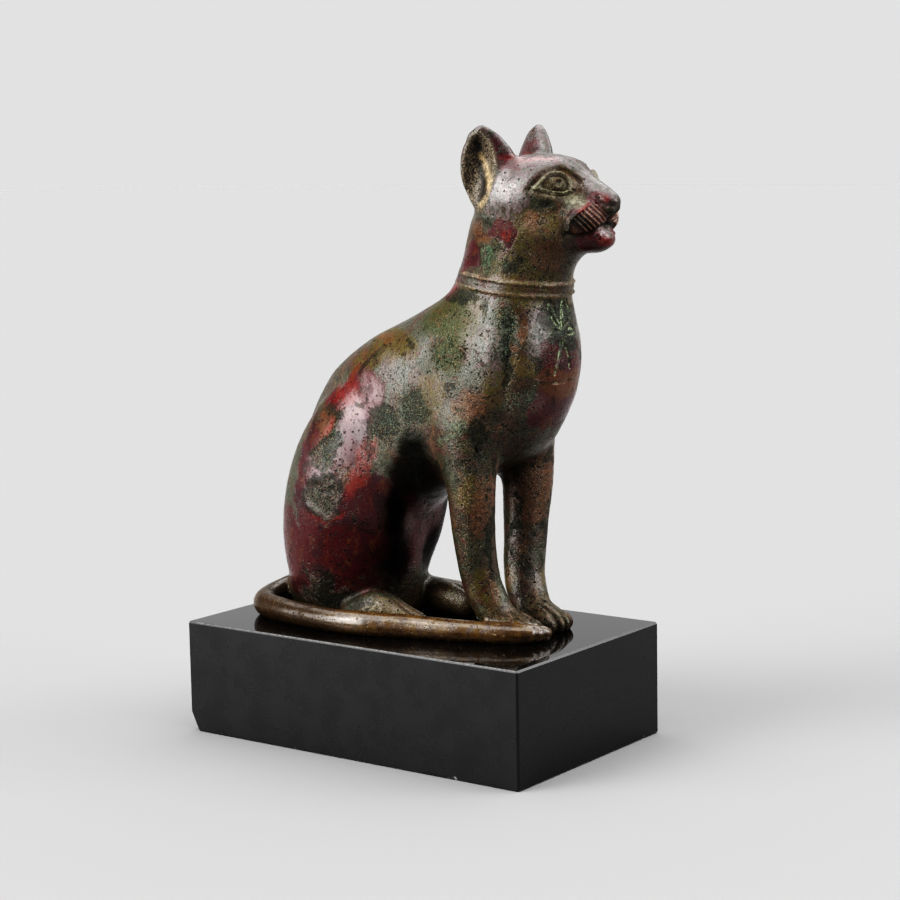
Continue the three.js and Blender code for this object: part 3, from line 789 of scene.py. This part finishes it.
def fine_mesh(cat):
    """A fine mesh on the cat's field, with its points, the way out at each, and which are its base."""
    remesh = cat.modifiers.new("even", "REMESH")
    remesh.mode = "VOXEL"
    remesh.voxel_size = VOXEL
    remesh.adaptivity = THINNING
    cat.modifiers.new("lighter", "DECIMATE").ratio = KEPT_SHARE
    bpy.context.view_layer.update()
    coarse = bpy.data.meshes.new_from_object(cat.evaluated_get(bpy.context.evaluated_depsgraph_get()))
    cat.modifiers.clear()
    spots, corners = triangles_of(coarse)
    p = (spots - PLACE) / UNIT
    p, corners = refined(p, corners, lambda q: q[:, 2] > OVER_BASE, BODY_EDGE / UNIT)
    p, corners = refined(p, corners, lambda q: head_and_feet(q) | collar_part(q), HEAD_EDGE / UNIT)
    p, corners = refined(p, corners, lined_parts, LINE_EDGE / UNIT)
    base = p[:, 2] < BASE
    p, out = settled(cat_field(), p)
    mesh = bpy.data.meshes.new("cat_bronze")
    mesh.from_pydata(np.where(base[:, None], p * (1, 1, 0), p) * UNIT + PLACE, [], corners)
    bm = bmesh.new()
    bm.from_mesh(mesh)
    bmesh.ops.beautify_fill(bm, faces=bm.faces, edges=bm.edges)
    bm.to_mesh(mesh)
    bm.free()
    return mesh, p, out, base


def fine_cat():
    """The bronze cat with its relief, and the numbers at its vertices that its material follows."""
    cat = placed("cat_bronze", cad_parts["cat_figure"].data.copy())
    mesh, p, out, base = fine_mesh(cat)
    cat.data = mesh

    # Relief, along the ways out
    q = nearside(p)
    h_face, marks = face_relief(p)
    h_collar, collar_grooves, collar_worn = collar_relief(p)
    h_pendant, inlay, pendant_ground = pendant_relief(p)
    h_foot, toe_grooves = foot_relief(p)
    swell = grain(p, 6, 1)
    flow = np.stack([grain(p, 5, 11), grain(p, 5, 12), grain(p, 5, 13)], 1)
    pocks = grain(p, 1.5, 2)
    is_tail = ramp(0.9, 0.2, tail(p)) * (p[:, 2] < 7)
    rim, crusted = corrosion(q + 1.6 * flow)
    rough = np.maximum(rim, crusted)
    h = h_face + h_collar + h_pendant + h_foot + chest_relief(p)
    h += 0.07 * swell + (0.035 + 0.12 * rough) * pocks * (1 - 0.7 * is_tail) * (1 - 0.8 * marks["dirt"])
    h += 0.1 * rim - 0.12 * crusted
    p = p + out * np.where(base, 0, h)[:, None]
    p[:, 2] = np.where(base, 0, np.maximum(p[:, 2], 0))
    mesh.vertices.foreach_set("co", (p * UNIT + PLACE).ravel())
    mesh.update()

    # Numbers: the stains are carried a little way by smooth noise, and less on the face
    in_ear = ramp(0.8, 0.1, ear_hollow(farside(p))) * (p[:, 2] > 83)
    v = seen(q)
    # Painted shade: the low crease where the tail lies against the body is made darker, through the dark
    # mark.
    tail_crease_painted_shade = ramp(1.1, 0.1, np.abs(tail(p) - joined(1.5, trunk, paired(haunch))(p))) * (p[:, 2] < 6)
    face = ramp(-30, -35, p[:, 1]) * (p[:, 2] > 76)
    wander = 1.6 - 0.7 * ramp(73, 79, p[:, 2]) - 0.6 * face
    warped = q + wander[:, None] * flow
    numbers = {name: stain(warped, rows) * (1 - is_tail) * (1 - in_ear) for name, rows in STAINS.items()}
    numbers["dark"] = greatest(numbers["dark"], rim, 0.8 * tail_crease_painted_shade, 0.75 * pendant_ground)
    numbers["dull"] = np.maximum(numbers["dull"], 0.9 * is_tail * ramp(0, 15, p[:, 1]))
    numbers |= marks
    numbers["groove"] = greatest(numbers["groove"], 0.8 * collar_grooves, toe_grooves)
    numbers["polish"] = np.maximum(numbers["polish"] * (1 - in_ear), 0.8 * stain(q, SATIN))
    numbers["tail"] = is_tail
    numbers["inlay"] = inlay
    numbers["worn"] = collar_worn
    numbers["ear"] = in_ear
    numbers["ear_gold"] = in_ear * ridge(near_path(v, EAR_GOLD)[0], 0.48)
    numbers["ear_dark"] = in_ear * ridge(near_path(v, EAR_DARK)[0], 0.9)
    numbers["crust"] = crusted
    for name, values in numbers.items():
        set_number(mesh, name, values)
    mesh.polygons.foreach_set("use_smooth", [True] * len(mesh.polygons))
    mesh.materials.append(bronze())
    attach(cat, "root")
    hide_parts("cat_figure")
    return cat


class Nodes:
    """Builds a tree of shader nodes: each call adds to it and gives an output."""

    def __init__(self, tree):
        self.tree = tree

    def node(self, kind, values=None, **settings):
        """Adds a node with its settings, and values for its sockets by their names or places."""
        n = self.tree.nodes.new("ShaderNode" + kind)
        for name, value in settings.items():
            setattr(n, name, value)
        for name, value in (values or {}).items():
            self.put(n.inputs[name], value)
        return n

    def put(self, socket, value):
        """Links an output or a vertex number's name to a socket, or sets its value."""
        if isinstance(value, str):
            value = self.node("Attribute", attribute_name=value).outputs["Fac"]
        if hasattr(value, "node"):
            self.tree.links.new(value, socket)
        elif isinstance(value, tuple) and len(value) == 3 and len(socket.default_value) == 4:
            socket.default_value = (*value, 1)
        else:
            socket.default_value = value

    def vector(self, op, *values, out="Vector"):
        return self.node("VectorMath", dict(enumerate(values)), operation=op).outputs[out]

    def maths(self, op, *values, clamp=False):
        return self.node("Math", dict(enumerate(values)), operation=op, use_clamp=clamp).outputs[0]

    def times(self, a, b):
        return self.maths("MULTIPLY", a, b)

    def most(self, value, *others):
        for other in others:
            value = self.maths("MAXIMUM", value, other)
        return value

    def step(self, value, low, high, to_low=0, to_high=1):
        """A smooth change from one number to another, while a value rises from low to high."""
        ends = {"From Min": low, "From Max": high, "To Min": to_low, "To Max": to_high}
        return self.node("MapRange", {"Value": value, **ends}, interpolation_type="SMOOTHSTEP").outputs[0]

    def mix(self, share, a, b):
        """A mix of two colours, which are the seventh and eighth of the node's sockets."""
        return self.node("Mix", {"Factor": share, 6: a, 7: b}, data_type="RGBA").outputs[2]

    def laid(self, under, share, strength, over):
        """A colour laid over another, by a share times a strength."""
        return self.mix(self.times(share, strength), under, over)

    def lay(self, share, strength, over):
        """Lays a colour over the material's colour so far, by a share times a strength."""
        self.colour = self.laid(self.colour, share, strength, over)


class Shader(Nodes):
    """A material's nodes, whose textures are placed and sized in millimetres."""

    def __init__(self, name):
        self.material = bpy.data.materials.new(name)
        self.material.use_nodes = True
        super().__init__(self.material.node_tree)
        self.tree.nodes.clear()
        self.body = self.node("BsdfPrincipled")
        self.node("OutputMaterial", {"Surface": self.body.outputs[0]})
        self.mm = self.vector("MULTIPLY", self.node("TexCoord").outputs["Object"], (1000, 1000, 1000))

    def give(self, name, value):
        self.put(self.body.inputs[name], value)

    def noise(self, size, seed, detail, rough, twist=0, stretch=(1, 1, 1)):
        at = self.vector("MULTIPLY_ADD", self.mm, stretch, (seed * 13.7, seed * 5.1, seed * 9.3))
        look = {"Scale": 1 / size, "Detail": detail, "Roughness": rough, "Distortion": twist}
        return self.node("TexNoise", {"Vector": at, **look}).outputs["Fac"]

    def cells(self, size, seed):
        """Distance to the nearest of some scattered points."""
        at = self.vector("ADD", self.mm, (seed * 11.3, seed * 4.9, seed * 7.7))
        return self.node("TexVoronoi", {"Vector": at, "Scale": 1 / size}).outputs["Distance"]

    def blob(self, centre, radius, soft):
        """One near a point and none outside a radius."""
        away = self.vector("DISTANCE", self.mm, centre, out="Value")
        return self.step(away, radius, radius * (1 - soft))

    def bump(self, height, strength, distance):
        values = {"Height": height, "Strength": strength, "Distance": distance}
        self.give("Normal", self.node("Bump", values).outputs[0])


# The patina's colours, and among them colours for painted highlights and painted shade
MAROON = (0.038, 0.0062, 0.0075)
PURPLE = (0.024, 0.0062, 0.008)
SCARLET = (0.085, 0.0095, 0.0075)
RUST = (0.062, 0.027, 0.01)
BROWN = (0.026, 0.0145, 0.007)
OLIVE = (0.06, 0.047, 0.009)
MOSS = (0.027, 0.034, 0.013)
GREEN_BROWN = (0.02, 0.02, 0.009)
BLACK_GREEN = (0.003, 0.0038, 0.0028)
MALACHITE = (0.064, 0.104, 0.07)
BUFF = (0.14, 0.098, 0.052)
# Painted highlight: a paler red, laid on the red patina where highlights fall
PAINTED_HIGHLIGHT_ROSE = (0.078, 0.026, 0.028)
DUSTY_PINK = (0.058, 0.038, 0.04)
GREY_SATIN = (0.036, 0.037, 0.032)
# Painted highlight: a paler satin, laid on the polished skin where highlights fall
PAINTED_HIGHLIGHT_SATIN = (0.105, 0.08, 0.079)
DUST = (0.064, 0.044, 0.028)
CRUST_BROWN = (0.078, 0.058, 0.042)
CRUST_GREEN = (0.045, 0.054, 0.034)
# Painted shade: black for the depth between haunch and belly
DEEP_SHADE = (0.002, 0.0018, 0.0018)
# The tail's, the face's, the collar's, the ears' and the pendant's colours
GOLD = (0.064, 0.036, 0.01)
DARK_GOLD = (0.026, 0.0125, 0.0045)
DULL_GOLD = (0.014, 0.0085, 0.0045)
DIRT = (0.13, 0.12, 0.082)
OLD_DIRT = (0.04, 0.036, 0.02)
DARK_DIRT = (0.014, 0.009, 0.005)
EYE_BROWN = (0.075, 0.044, 0.02)
PAD_RED = (0.036, 0.008, 0.006)
WHISKER_LINE = (0.24, 0.15, 0.095)
WORN_COLLAR = (0.14, 0.1, 0.06)
EAR_SHADOW = (0.014, 0.012, 0.009)
EAR_SPECK = (0.115, 0.092, 0.064)
EAR_DEPTH = (0.002, 0.002, 0.002)
EAR_METAL = (0.24, 0.175, 0.095)
INLAY_GREEN = (0.08, 0.13, 0.06)
INLAY_PALE = (0.22, 0.24, 0.16)
WHITE = (1, 1, 1)


def zone(s, name, wobble, ragged, soft):
    """One inside a stain, with an edge that a noise makes ragged."""
    value = s.maths("ADD", name, s.times(s.maths("SUBTRACT", wobble, 0.5), ragged))
    return s.step(value, 0.5 - soft, 0.5 + soft)


def bronze():
    """Bronze under its patina. Names in quotes are the numbers at the cat's vertices."""
    s = Shader("patinated_bronze")
    wide = s.noise(9, 2, 5, 0.62, 0.8)
    mottle = s.noise(3.2, 3, 8, 0.7, 0.5)
    small = s.noise(1.5, 4, 5, 0.68, 0.3)
    tiny = s.noise(0.5, 5, 3, 0.6)
    grit = s.noise(0.42, 16, 2, 0.5)

    # Stains, each over the ones before it
    s.colour = s.mix(s.step(wide, 0.42, 0.58), BROWN, GREEN_BROWN)
    s.lay(zone(s, "olive", mottle, 1.5, 0.3), 0.9, s.mix(s.step(small, 0.38, 0.62), OLIVE, BROWN))
    s.lay(zone(s, "moss", mottle, 2.2, 0.4), 0.75, s.mix(s.step(small, 0.4, 0.6), MOSS, GREEN_BROWN))
    red = zone(s, "red", mottle, 1.5, 0.2)
    # The red patina is paler on the gloss spots: a painted highlight
    reds_with_painted_highlight = s.laid(s.mix(s.step(wide, 0.4, 0.62), MAROON, PURPLE), "gloss_and_painted_highlight", 0.8, PAINTED_HIGHLIGHT_ROSE)
    s.lay(red, 0.95, reds_with_painted_highlight)
    stray_red = s.times(s.step(s.noise(7, 19, 6, 0.7, 0.8), 0.56, 0.62), s.step(small, 0.4, 0.6))
    s.lay(stray_red, 0.6, MAROON)
    rust = zone(s, "rust", mottle, 2.2, 0.3)
    streaks = s.noise(5, 8, 5, 0.7, 0.6, (1, 1, 0.4))
    stray_rust = s.times(s.step(streaks, 0.52, 0.64), s.step(mottle, 0.44, 0.6))
    s.lay(s.most(rust, stray_rust), 0.7, RUST)
    s.lay(zone(s, "scarlet", small, 1.2, 0.45), s.step(mottle, 0.35, 0.6, 0.45, 0.95), SCARLET)
    stray_dark = s.step(s.noise(8, 7, 8, 0.74, 1.0), 0.57, 0.60)
    dark = s.most(zone(s, "dark", mottle, 3.0, 0.26), s.times(stray_dark, 0.8))
    s.lay(dark, 0.82, s.mix(s.step(tiny, 0.46, 0.66), BLACK_GREEN, GREEN_BROWN))

    # Satin skin, dust and pits
    satin = s.times("polish", s.step(small, 0.36, 0.54, 0.1, 1.0))
    satin = s.times(satin, s.step(red, 0, 1, 0.85, 0.35))
    brushed = s.noise(1.1, 23, 5, 0.7, 0.4, (1, 1, 0.45))
    # The satin skin is paler on the gloss spots: a painted highlight
    satin_pink_with_painted_highlight = s.laid(DUSTY_PINK, "gloss_and_painted_highlight", 0.9, PAINTED_HIGHLIGHT_SATIN)
    s.lay(satin, 1, s.mix(s.step(brushed, 0.44, 0.60), satin_pink_with_painted_highlight, GREY_SATIN))
    s.lay(s.times("dust", s.step(small, 0.36, 0.6)), 0.6, DUST)
    clusters = s.times(s.step(s.noise(4, 12, 4, 0.65), 0.47, 0.58), s.step("polish", 0, 1, 1, 0.6))
    pits = s.times(s.step(s.cells(0.95, 1), 0.3, 0.16), clusters)
    pits = s.most(pits, s.step(s.cells(2.3, 31), 0.19, 0.11))
    s.lay(pits, 0.9, BLACK_GREEN)

    # Green and buff grains, and the crusted patch
    green = s.times(zone(s, "green", small, 1.6, 0.3), s.step(grit, 0.54, 0.64))
    stray_green = s.times(s.step(s.noise(6, 14, 4, 0.7), 0.55, 0.64), s.step(grit, 0.58, 0.66))
    verdigris = s.times(zone(s, "verdigris", small, 2.2, 0.3), s.step(tiny, 0.44, 0.62))
    green = s.most(s.times(s.most(green, stray_green), 0.5), s.times(verdigris, 0.55))
    s.lay(green, 1, MALACHITE)
    gritty = s.step(s.noise(2.4, 21, 3, 0.6), 0.42, 0.62)
    buff = s.times("buff", s.step(tiny, 0.54, 0.66))
    stray_buff = s.times(s.step(s.noise(10, 15, 4, 0.65), 0.52, 0.64), s.step(tiny, 0.58, 0.68))
    buff = s.times(s.most(buff, stray_buff), s.times(gritty, 0.75))
    s.lay(buff, 1, BUFF)
    crust_grains = s.mix(s.step(small, 0.4, 0.6), CRUST_BROWN, CRUST_GREEN)
    s.lay("crust", 0.9, s.mix(s.step(tiny, 0.44, 0.62), BLACK_GREEN, crust_grains))
    # Painted shade: black in the depth between haunch and belly
    s.lay("shade", 0.9, DEEP_SHADE)

    # The tail, the face, the collar, the ears and the pendant
    tail_colour = s.mix(s.step(mottle, 0.36, 0.64), GOLD, DARK_GOLD)
    s.lay("tail", 1, s.laid(tail_colour, "dull", 0.85, DULL_GOLD))
    s.lay("hollow", 0.85, s.mix(s.step(small, 0.4, 0.6), EYE_BROWN, DARK_DIRT))
    dirt = s.times("dirt", s.step(small, 0.30, 0.52))
    s.lay(dirt, 0.85, s.mix(s.step(mottle, 0.42, 0.62), DIRT, OLD_DIRT))
    pad_colour = s.mix("dark", s.laid(PAD_RED, rust, 0.8, RUST), BLACK_GREEN)
    s.lay("pad", 0.9, pad_colour)
    s.lay("lines", 0.8, WHISKER_LINE)
    s.lay("worn", s.step(small, 0.4, 0.6, 0.1, 0.7), WORN_COLLAR)
    s.lay("groove", 0.9, DARK_DIRT)
    ear_skin = s.mix(s.step(tiny, 0.36, 0.64), EAR_SHADOW, EAR_SPECK)
    ear_skin = s.mix("ear_dark", ear_skin, EAR_DEPTH)
    ear_skin = s.mix(s.times("ear_gold", s.step(small, 0.3, 0.6, 0.4, 1.0)), ear_skin, EAR_METAL)
    s.lay("ear", 0.95, ear_skin)
    inlay = s.times(s.step("inlay", 0.3, 0.8), s.step(small, 0.44, 0.60))
    s.lay(inlay, 0.9, s.mix(s.step(tiny, 0.4, 0.6), INLAY_GREEN, INLAY_PALE))

    # Dark specks in the skin, but for the red, the satin and the tail, which are sleek
    sleek = s.most(s.times(red, 0.9), s.times("polish", 0.65), "tail")
    speckle = s.times(s.step(tiny, 0.34, 0.52, 0.45, 1.15), s.step(small, 0.3, 0.7, 0.65, 1.35))
    specks = s.mix(sleek, s.maths("MINIMUM", speckle, 2.2), WHITE)
    s.give("Base Color", s.vector("MULTIPLY", s.colour, specks))

    # Roughness and gloss
    matt = s.most(dark, pits, green, buff, dirt, "crust", "ear", "groove", s.times("hollow", 0.7))
    rough = s.mix(sleek, s.step(mottle, 0.3, 0.7, 0.27, 0.40), s.step(mottle, 0.3, 0.7, 0.20, 0.30))
    s.give("Roughness", s.maths("ADD", rough, s.times(matt, 0.16), clamp=True))
    gloss = s.mix(sleek, s.step(grit, 0.36, 0.54, 0.20, 0.52), s.step(tiny, 0.34, 0.52, 0.20, 0.33))
    for part, change in (("gloss_and_painted_highlight", 1.4), ("dull", 0.28), (matt, 0.55), ("shade", 0.08)):
        gloss = s.times(gloss, s.step(part, 0, 1, 1, change))
    gloss = s.maths("MULTIPLY", gloss, s.step("tail", 0, 1, 1, 2.1), clamp=True)
    s.give("Specular IOR Level", gloss)
    s.give("Metallic", 0.08)

    # Bumps: grains stand up, and dark crust and pits are sunk
    height = s.maths("ADD", s.times(small, 0.5), s.times(tiny, 0.5))
    height = s.maths("SUBTRACT", height, s.times(dark, 0.25))
    height = s.maths("ADD", height, s.times(s.most(buff, green), 0.4))
    height = s.times(height, s.step(sleek, 0, 1, 1, 0.16))
    height = s.maths("SUBTRACT", height, s.times(pits, 0.4))
    s.bump(height, 0.7, 0.0004)
    return s.material


# The stone's colours, and those of its flecks, of its chips and of the painted highlight along its top
# edge
STONE_BLACK = (0.0017, 0.0017, 0.0019)
STONE_GREY = (0.0022, 0.0021, 0.0023)
STONE_FLECK = (0.2, 0.2, 0.2)
STONE_PAINTED_HIGHLIGHT_AND_CHIP = (0.16, 0.16, 0.155)


def black_stone(name, low, high, level):
    """Black stone, from its least to its greatest roughness, with a share of the usual gloss."""
    s = Shader(name)
    colour = s.mix(s.step(s.noise(18, 1, 4, 0.6), 0.3, 0.7), STONE_BLACK, STONE_GREY)
    colour = s.mix(s.step(s.noise(0.5, 2, 2, 0.5), 0.795, 0.82), colour, STONE_FLECK)
    # The pale line along the top edge is a painted highlight; the chips are pale broken stone.
    worn = s.times(edge_painted_highlight_and_chips(s), s.step(s.noise(0.8, 5, 4, 0.7), 0.42, 0.62))
    s.give("Base Color", s.mix(worn, colour, STONE_PAINTED_HIGHLIGHT_AND_CHIP))
    haze = s.step(s.noise(9, 3, 4, 0.6), 0.3, 0.7, low, high)
    s.give("Roughness", s.maths("ADD", haze, s.times(worn, 0.4), clamp=True))
    s.give("Specular IOR Level", level)
    s.bump(s.noise(3, 4, 3, 0.5), 0.03, 0.0002)
    return s.material


# Small chips: places along x and y, and up, with how far each reaches, in millimetres
CHIPS = [
    (-38.5, -40.6, 0.3, 1.1),
    (-38.5, -38.4, 0.2, 0.6),
    (-10.6, -63.5, 35.4, 0.6),
    (-22, -63.5, 35.4, 0.4),
    (30, -63.5, 0.3, 1.0),
    (-38.5, 20, 0.2, 0.6),
    (38.5, 12, 35.4, 0.7),
]
# A chip's deepest bite, and the rings round it that are meshed more finely, as shares of its reach:
# how wide each is, and its longest edge
CHIP_DEPTH = 0.45
CHIP_RINGS = ((2, 0.8), (1.3, 0.4))
# The longest edge on the block's sides, and how far under its top they end, in metres
STONE_EDGE = 0.006
STONE_RIM = 0.0001


def edge_painted_highlight_and_chips(s):
    """A painted highlight, the pale line along the long top edge on the cat's right, and the chips."""
    split = s.node("SeparateXYZ", {0: s.mm})
    top = PLINTH_HEIGHT * 1000
    beside = s.step(split.outputs["X"], -37.95, -38.15)
    upper = s.step(split.outputs["Z"], top - 0.36, top - 0.22)
    worn = s.times(s.times(beside, upper), 0.7)
    for x, y, z, reach in CHIPS:
        worn = s.most(worn, s.blob((x, y, z), reach, 0.3))
    return worn


def plinth():
    """The block, with small chips, a painted highlight along its top edge, and a polished top."""
    p, corners = triangles_of(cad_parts["plinth"].data)
    p, corners = refined(p, corners, lambda q: q[:, 2] < PLINTH_HEIGHT - STONE_RIM, STONE_EDGE)
    chips = [(np.array([x, y, z]) / 1000, reach / 1000) for x, y, z, reach in CHIPS]
    for spot, reach in chips:
        for width, share in CHIP_RINGS:
            near_chip = partial(near_point, centre=spot, radii=width * reach)
            p, corners = refined(p, corners, near_chip, share * reach)
    middle = np.array([0, 0, PLINTH_HEIGHT / 2])
    for spot, reach in chips:
        gap = np.linalg.norm(p - spot, axis=1) / reach
        for i in np.flatnonzero(gap < 1):
            bite = (1 - gap[i]) * (0.7 + 0.3 * noise.noise(Vector(p[i]) * 2500))
            inwards = (middle - p[i]) / np.linalg.norm(middle - p[i])
            p[i] += inwards * bite * reach * CHIP_DEPTH
    mesh = bpy.data.meshes.new("plinth_stone")
    mesh.from_pydata(p, [], corners)
    stone = placed("plinth_stone", mesh)
    mesh.materials.append(black_stone("satin_black_stone", 0.26, 0.29, 0.54))
    mesh.materials.append(black_stone("polished_black_stone", 0.015, 0.03, 0.5))
    for face in mesh.polygons:
        face.use_smooth = False
        face.material_index = int(face.normal.z > 0.99)
    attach(stone, "root")
    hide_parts("plinth")


FLOOR_GREY = (0.168, 0.168, 0.168)
FLOOR_REACH = 6.0


def stage():
    """A plain matt floor, wide enough to meet the backdrop."""
    mesh = bpy.data.meshes.new("floor")
    a = FLOOR_REACH
    mesh.from_pydata([(-a, -a, 0), (a, -a, 0), (a, a, 0), (-a, a, 0)], [], [(0, 1, 2, 3)])
    floor = placed("floor", mesh)
    s = Shader("pale_floor")
    s.give("Base Color", FLOOR_GREY)
    s.give("Roughness", 0.9)
    s.give("Specular IOR Level", 0.0)
    mesh.materials.append(s.material)
    return floor


# The pale wall's strength as it lights the scene and as the camera sees it, the dim room's, and the
# way from the camera to the wall
SKY_WALL = 0.742
SKY_SEEN = 0.7525
SKY_ROOM = 0.15
AWAY = (0.8, 0.595, 0)


def studio_sky():
    """Light of a pale wall behind the cat in a dim room. The camera sees the wall all round."""
    world = bpy.data.worlds.new("studio")
    bpy.context.scene.world = world
    world.use_nodes = True
    sky = Nodes(world.node_tree)
    way = sky.node("TexCoord").outputs["Generated"]
    ahead = sky.vector("DOT_PRODUCT", way, AWAY, out="Value")
    up = sky.node("SeparateXYZ", {0: way}).outputs["Z"]
    wall = sky.times(sky.step(ahead, -0.1, 0.6), sky.step(up, 0.1, 0.6, 1, 0))
    lit = sky.step(wall, 0, 1, SKY_ROOM, SKY_WALL)
    in_view = sky.node("LightPath").outputs["Is Camera Ray"]
    backdrop = sky.node("Mix", {"Factor": in_view, "A": lit, "B": SKY_SEEN}).outputs["Result"]
    sky.put(sky.tree.nodes["Background"].inputs["Color"], backdrop)


# The camera stands in front of the cat's right side, as in the photograph.
CAMERA_PLACE = Vector((-0.54878, -0.41895, 0.18736))
CAMERA_RIGHT = Vector(SEEN_ACROSS)
CAMERA_UP = Vector(SEEN_UP)
CAMERA_BACK = Vector((-0.7958, -0.5891, 0.1402))
CAMERA_LENS = 89.795
CAMERA_SENSOR = 36
CAMERA_NEAREST = 0.01


def camera():
    data = bpy.data.cameras.new("camera")
    data.lens = CAMERA_LENS
    data.sensor_width = CAMERA_SENSOR
    data.clip_start = CAMERA_NEAREST
    cam = placed("camera", data)
    axes = Matrix((CAMERA_RIGHT, CAMERA_UP, CAMERA_BACK)).transposed()
    cam.matrix_world = Matrix.Translation(CAMERA_PLACE) @ axes.to_4x4()
    bpy.context.scene.camera = cam


def soft_light(name, towards, spread, strength, falls_on=None):
    """A broad, far softbox, towards the camera's right, up and back. It can be kept to a collection."""
    data = bpy.data.lights.new(name, "SUN")
    data.angle = math.radians(spread)
    data.energy = strength
    lamp = placed(name, data)
    right, up, back = towards
    way = CAMERA_RIGHT * right + CAMERA_UP * up + CAMERA_BACK * back
    lamp.rotation_euler = way.to_track_quat("Z", "Y").to_euler()
    lamp.light_linking.receiver_collection = falls_on


# Points of the tone curve, from black to white
TONE_CURVE = [
    (0, 0), (0.03, 0.0075), (0.06, 0.022), (0.1, 0.052), (0.15, 0.105), (0.22, 0.19), (0.35, 0.345),
    (1, 1),
]


def photographic_tones():
    """The photograph's contrast: dark tones are held down, and pale ones are left alone."""
    view = bpy.context.scene.view_settings
    view.view_transform = "Standard"
    view.use_curve_mapping = True
    curve = view.curve_mapping.curves[3]
    curve.points[0].location = TONE_CURVE[0]
    curve.points[1].location = TONE_CURVE[-1]
    for x, y in TONE_CURVE[1:-1]:
        curve.points.new(x, y)
    view.curve_mapping.update()


camera()
floor = stage()
studio_sky()
soft_light("left_softbox_low", (-0.93, 0.12, 0.33), 54, 8.6)
soft_light("left_softbox_high", (-0.70, 0.60, 0.38), 30, 2.4)
soft_light("top_softbox", (0.10, 0.98, 0.0), 100, 8.6)
plinth()

# The lights on the right fall on the cat and the floor alone, because the polished top would mirror
# them to a camera behind the cat.
beside_plinth = bpy.data.collections.new("beside_plinth")
beside_plinth.objects.link(fine_cat())
beside_plinth.objects.link(floor)
soft_light("right_softbox", (0.88, 0.46, 0.1), 34, 2.6, beside_plinth)
soft_light("right_front_softbox", (0.80, 0.22, 0.56), 26, 1.5, beside_plinth)
photographic_tones()
